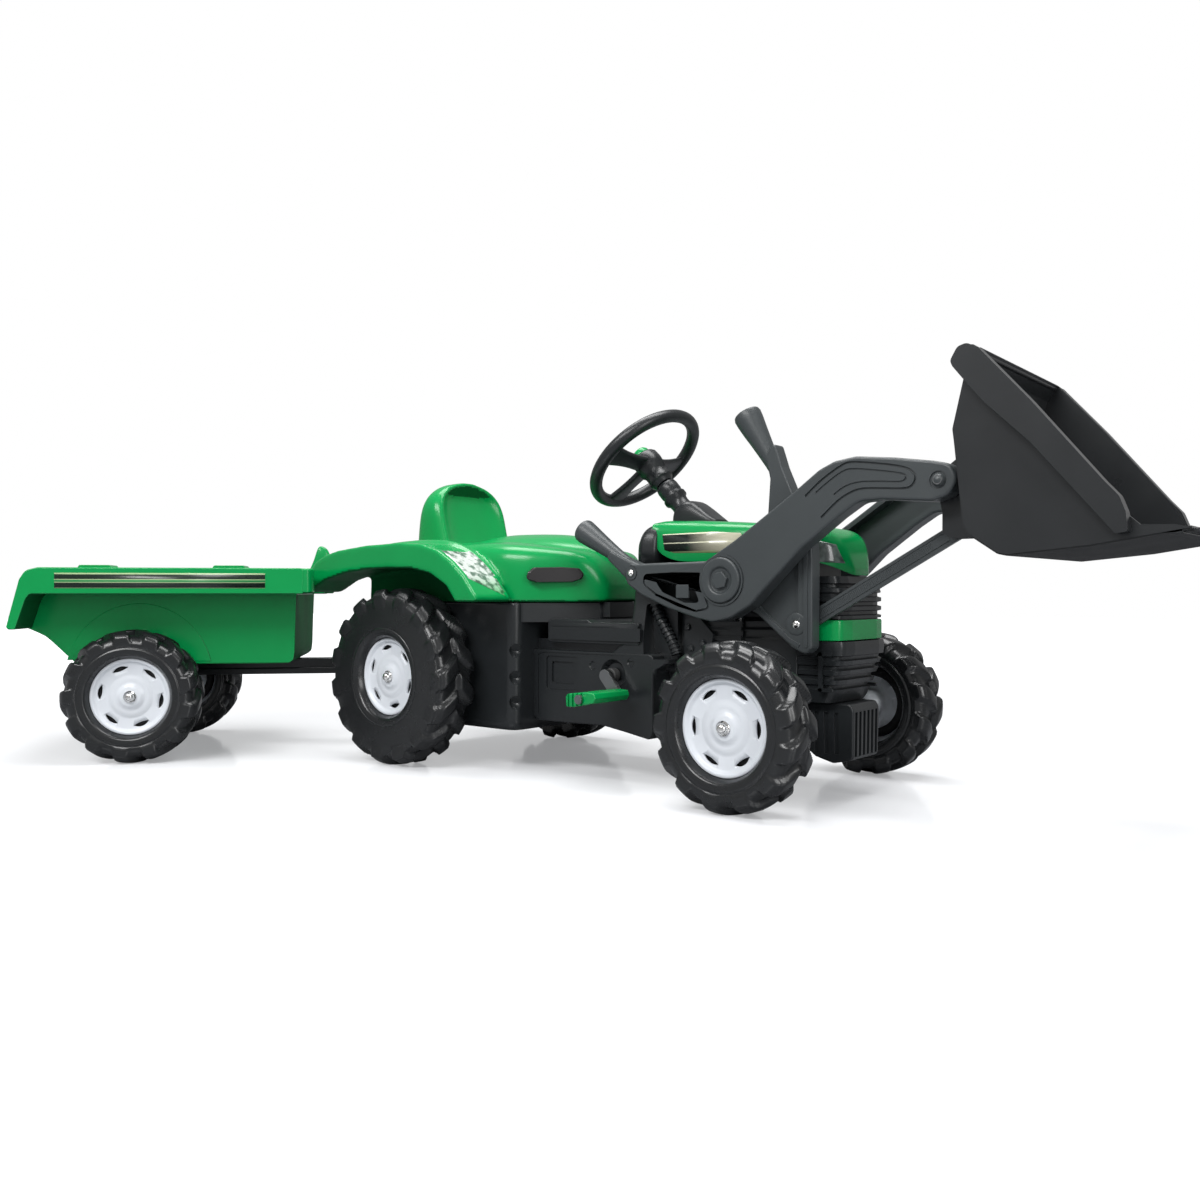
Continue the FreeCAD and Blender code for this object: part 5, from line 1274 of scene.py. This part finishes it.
# front body, narrower ahead of the pivot
fb1 = boxy("front_body_a", 470, 612, -77, 77, 98, 345, BLACK)
fb2 = prism("front_body_b", rounded([(600, 100), (699.6, 100), (699.6, 345), (600, 345)], 3), -70, 70, BLACK)
for o in (fb1, fb2):
    bake(o, ("BEVEL", {"width": 4, "segments": 3, "limit_method": "ANGLE", "angle_limit": math.radians(50)}))
bottom = rings("sump", [[(p[0], p[1], z) for p in rounded([(x0, -h), (x1, -h), (x1, h), (x0, h)], 12, 4)] for z, x0, x1, h in ((66, 446, 492, 60), (72, 430, 520, 84), (86, 428, 560, 92), (104, 428, 590, 92), (130, 428, 604, 84), (150, 440, 608, 74))], BLACK)
ch += [fb1, fb2, bottom]
for s in (-1, 1):
    # moulded engine shapes: pipe, ribs, blocks and bolts
    hose = []
    path = smooth_line([(463, 289, 0), (470, 268, 0), (484, 244, 0), (498, 222, 0), (506, 204, 0)], 7)
    for i in range(len(path) - 1):
        a, b = path[i], path[i + 1]
        hose.append(tube("hose", [(a[0], s * 96, a[1]), (b[0], s * 96, b[1])], [8.6 if i % 2 else 6.8] * 2, BLACK, seg=18))
    ch += hose
    for z0 in (226, 240, 254, 268):
        r = prism("rib", rounded([(536, z0), (612, z0 + 2), (612, z0 + 8), (536, z0 + 7)], 2), s * 76, s * 79.6, BLACK)
        ch.append(r)
        r = prism("rib", rounded([(612, z0 + 2), (694, z0 + 4), (694, z0 + 10), (612, z0 + 8)], 2), s * 69, s * 72.3, BLACK)
        ch.append(r)
    ch.append(prism("blk", rounded([(512, 200), (560, 204), (566, 236), (540, 262), (514, 258)], 6), s * 76, s * 86, BLACK))
    ch.append(prism("blk", rounded([(566, 178), (606, 180), (606, 216), (570, 214)], 5), s * 76, s * 83, BLACK))
    ch.append(prism("blk", rounded([(500, 286), (560, 288), (572, 330), (500, 336)], 8), s * 76, s * 82, BLACK))
    for x, z in ((526, 214), (548, 222), (580, 198), (590, 208), (520, 246)):
        ch.append(turned("bolt", [(0, 4), (4, 3.6), (5.4, 1.8), (5.4, -4), (0, -4)], (x, s * 86, z), (0, s, 0), BLACK, seg=18))
    ch.append(tube("pipe", [(500, s * 84, 300), (530, s * 86, 282), (556, s * 85, 268), (580, s * 82, 262), (604, s * 80, 262)], 6.5, BLACK, seg=16))
    ch.append(prism("rail", rounded([(470, 176), (604, 186), (604, 196), (470, 190)], 3), s * 76, s * 90, BLACK))
    ch.append(prism("sumprib", band([(446, 132), (480, 112), (508, 92)], 5), s * 74, s * 93.5, BLACK))
    ch.append(turned("pivot_boss", [(0, 0), (24, 0), (24, -30), (0, -30)], (617, s * (81.4 if s < 0 else 109.4), 317), (0, s, 0), BLACK, seg=48))
body = join("chassis_v", ch)
finish(body, "chassis", ["chassis_right_shell", "chassis_left_shell"], soft=0.9, seg=2, angle=38)

# --------------------------------------------------- seat trim
for side, s in (("right", -1), ("left", 1)):
    a, b = Vector((240, s * 153, 0)), Vector((305, s * 81, 0))
    u = (b - a).normalized()
    n = Vector((u.y * -1, u.x, 0)) * (1 if s > 0 else -1)
    n = Vector((abs(u.y), s * abs(u.x), 0))
    L = (b - a).length
    prof = rounded([(0, 322), (3, 333), (12, 341), (L * 0.6, 342), (L - 8, 340), (L, 330), (L - 4, 322), (L - 18, 317), (16, 316)], 7, 4)
    verts, m_ = [], len(prof)
    for depth, inset in ((-6.0, 0.0), (4.5, 0.0), (7.0, 1.2)):
        for q in prof:
            cx, cz = L / 2, 329
            k = 1 - inset / 16.0
            p = a + u * (cx + (q[0] - cx) * k) + n * depth
            verts.append((p.x, p.y, cz + (q[1] - cz) * k))
    faces = [list(range(m_)), [2 * m_ + k for k in range(m_ - 1, -1, -1)]]
    for l in range(2):
        faces += [[l * m_ + k, l * m_ + (k + 1) % m_, (l + 1) * m_ + (k + 1) % m_, (l + 1) * m_ + k] for k in range(m_)]
    o = mesh("seat_insert_%s_v" % side, verts, faces, INSERT)
    finish(o, "chassis", ["seat_side_inserts"], soft=1.0, seg=3, angle=40)

# ------------------------------------------------------------------ pedals
for side, s, k in (("right", -1, 1), ("left", 1, -1)):
    x, z = (421, 139) if s < 0 else (373, 197)
    out = rounded([(x - 29 * k, z - 13 * k), (x - 14 * k, z - 12.5 * k), (x + 24 * k, z - 5 * k), (x + 29 * k, z + 2 * k), (x + 26 * k, z + 10 * k), (x + 12 * k, z + 11 * k), (x - 26 * k, z + 7 * k), (x - 30 * k, z + 2 * k)], 3, 4)
    p = prism("%s_pedal_v" % side, out, s * 142, s * 226, GREEN)
    bake(p, ("BEVEL", {"width": 2.2, "segments": 3, "limit_method": "ANGLE", "angle_limit": math.radians(50)}))
    cuts = []
    for i in range(4):
        xx = x - 25 * k + 8.5 * k * i
        cuts.append(boxy("g", min(xx, xx + 3.4), max(xx, xx + 3.4), s * 223.2, s * 232, z - 30, z + 30, GREEN))
    for i in range(4):
        yy = 152 + 17 * i
        cuts.append(boxy("g2", x - 24, x + 22, min(s * yy, s * (yy + 5)), max(s * yy, s * (yy + 5)), z + 8.6, z + 30, GREEN))
    for c in cuts:
        carve(p, c)
    carve(p, turned("b", [(0, 130), (5.06, 130), (5.06, 240), (0, 240)], (x, 0, z), (0, s, 0), GREEN, seg=24))
    finish(p, "%s_pedal" % side, ["%s_pedal" % side], soft=0.5, seg=2, angle=40)


# ------------------------------------------------------------ carry-over
def dress(node, soft=None, seg=2, mat=None):
    """Keeps a CAD piece as it is, with its own finish and softened edges."""
    o = frame["nodes"][node]
    o.data.materials.clear()
    o.data.materials.append(mat or BY_SLOT[SLOT_OF[node]])
    o.data.polygons.foreach_set("use_smooth", [True] * len(o.data.polygons))
    if soft:
        w = o.modifiers.new("weld", "WELD")
        w.merge_threshold = 0.00002
        soften(o, soft, seg)
    return o


for n in frame["nodes"]:
    if not frame["nodes"][n].hide_render:
        dress(n, 1.2)

# --------------------------------------------------------- floor and light
floor_me = bpy.data.meshes.new("floor")
floor_me.from_pydata([(-12, -12, 0), (12, -12, 0), (12, 12, 0), (-12, 12, 0)], [], [[0, 1, 2, 3]])
floor = link(bpy.data.objects.new("floor", floor_me))
fm = bpy.data.materials.new("floor_pale")
fm.use_nodes = True
fb = fm.node_tree.nodes["Principled BSDF"]
fb.inputs["Base Color"].default_value = (0.86, 0.87, 0.89, 1)
fb.inputs["Roughness"].default_value = 0.11
fb.inputs["Specular IOR Level"].default_value = 0.5
# seen straight on it is a bright studio sweep; to the machine it is dimmer
ft = fm.node_tree
path = ft.nodes.new("ShaderNodeLightPath")
tone = ft.nodes.new("ShaderNodeMix")
tone.data_type = "RGBA"
tone.inputs[6].default_value = (0.30, 0.31, 0.33, 1)
tone.inputs[7].default_value = (0.86, 0.87, 0.89, 1)
ft.links.new(path.outputs["Is Camera Ray"], tone.inputs["Factor"])
ft.links.new(tone.outputs[2], fb.inputs["Base Color"])
fb.inputs["Emission Color"].default_value = (0.97, 0.98, 1.0, 1)
ft.links.new(path.outputs["Is Camera Ray"], fb.inputs["Emission Strength"])
glow = ft.nodes.new("ShaderNodeMath")
glow.operation = "MULTIPLY"
glow.inputs[1].default_value = 0.30
ft.links.new(path.outputs["Is Camera Ray"], glow.inputs[0])
geo = ft.nodes.new("ShaderNodeNewGeometry")
far = ft.nodes.new("ShaderNodeVectorMath")
far.operation = "LENGTH"
ft.links.new(geo.outputs["Position"], far.inputs[0])
haze = ft.nodes.new("ShaderNodeMapRange")
haze.interpolation_type = "SMOOTHSTEP"
haze.inputs[1].default_value, haze.inputs[2].default_value = 1.3, 3.2
haze.inputs[3].default_value, haze.inputs[4].default_value = 0.26, 1.0
ft.links.new(far.outputs["Value"], haze.inputs[0])
ft.links.new(haze.outputs[0], glow.inputs[1])
ft.links.new(glow.outputs[0], fb.inputs["Emission Strength"])
floor.data.materials.append(fm)

world = bpy.data.worlds.new("studio")
bpy.context.scene.world = world
world.use_nodes = True
wt_ = world.node_tree
sky = wt_.nodes["Background"]
sky.inputs[0].default_value = (1, 1, 1, 1)
wp = wt_.nodes.new("ShaderNodeLightPath")
wm = wt_.nodes.new("ShaderNodeMapRange")
wm.inputs["To Min"].default_value, wm.inputs["To Max"].default_value = 0.40, 1.0
wt_.links.new(wp.outputs["Is Camera Ray"], wm.inputs[0])
wt_.links.new(wm.outputs[0], sky.inputs[1])


def lamp(name, loc, target, size, power, color=(1, 1, 1)):
    d = bpy.data.lights.new(name, "AREA")
    d.shape = "RECTANGLE"
    d.size, d.size_y = size
    d.energy = power
    d.color = color
    o = link(bpy.data.objects.new(name, d))
    o.location = Vector(loc)
    o.rotation_mode = "QUATERNION"
    o.rotation_quaternion = (Vector(target) - Vector(loc)).to_track_quat("-Z", "Y")
    return o


lamp("key", (0.2, -2.4, 2.3), (0.0, 0.0, 0.2), (2.6, 0.7), 85)
lamp("top", (0.0, 0.3, 2.8), (0.0, 0.0, 0.2), (3.0, 1.2), 95)
lamp("front", (2.8, -0.9, 1.1), (0.2, 0.0, 0.3), (0.7, 1.4), 26)

# ------------------------------------------------------------------ camera
cam_data = bpy.data.cameras.new("camera")
cam_data.lens = 31.93
cam_data.sensor_width = 36.0
cam = link(bpy.data.objects.new("camera", cam_data))
cam.location = Vector((1.45824 - OX, -1.43848 - OY, 0.29796))
yaw, pitch = math.radians(129.482), math.radians(-0.355)
look = Vector((math.cos(yaw) * math.cos(pitch), math.sin(yaw) * math.cos(pitch), math.sin(pitch)))
cam.rotation_mode = "QUATERNION"
cam.rotation_quaternion = look.to_track_quat("-Z", "Y")
bpy.context.scene.camera = cam
bpy.context.scene.view_settings.view_transform = "Standard"
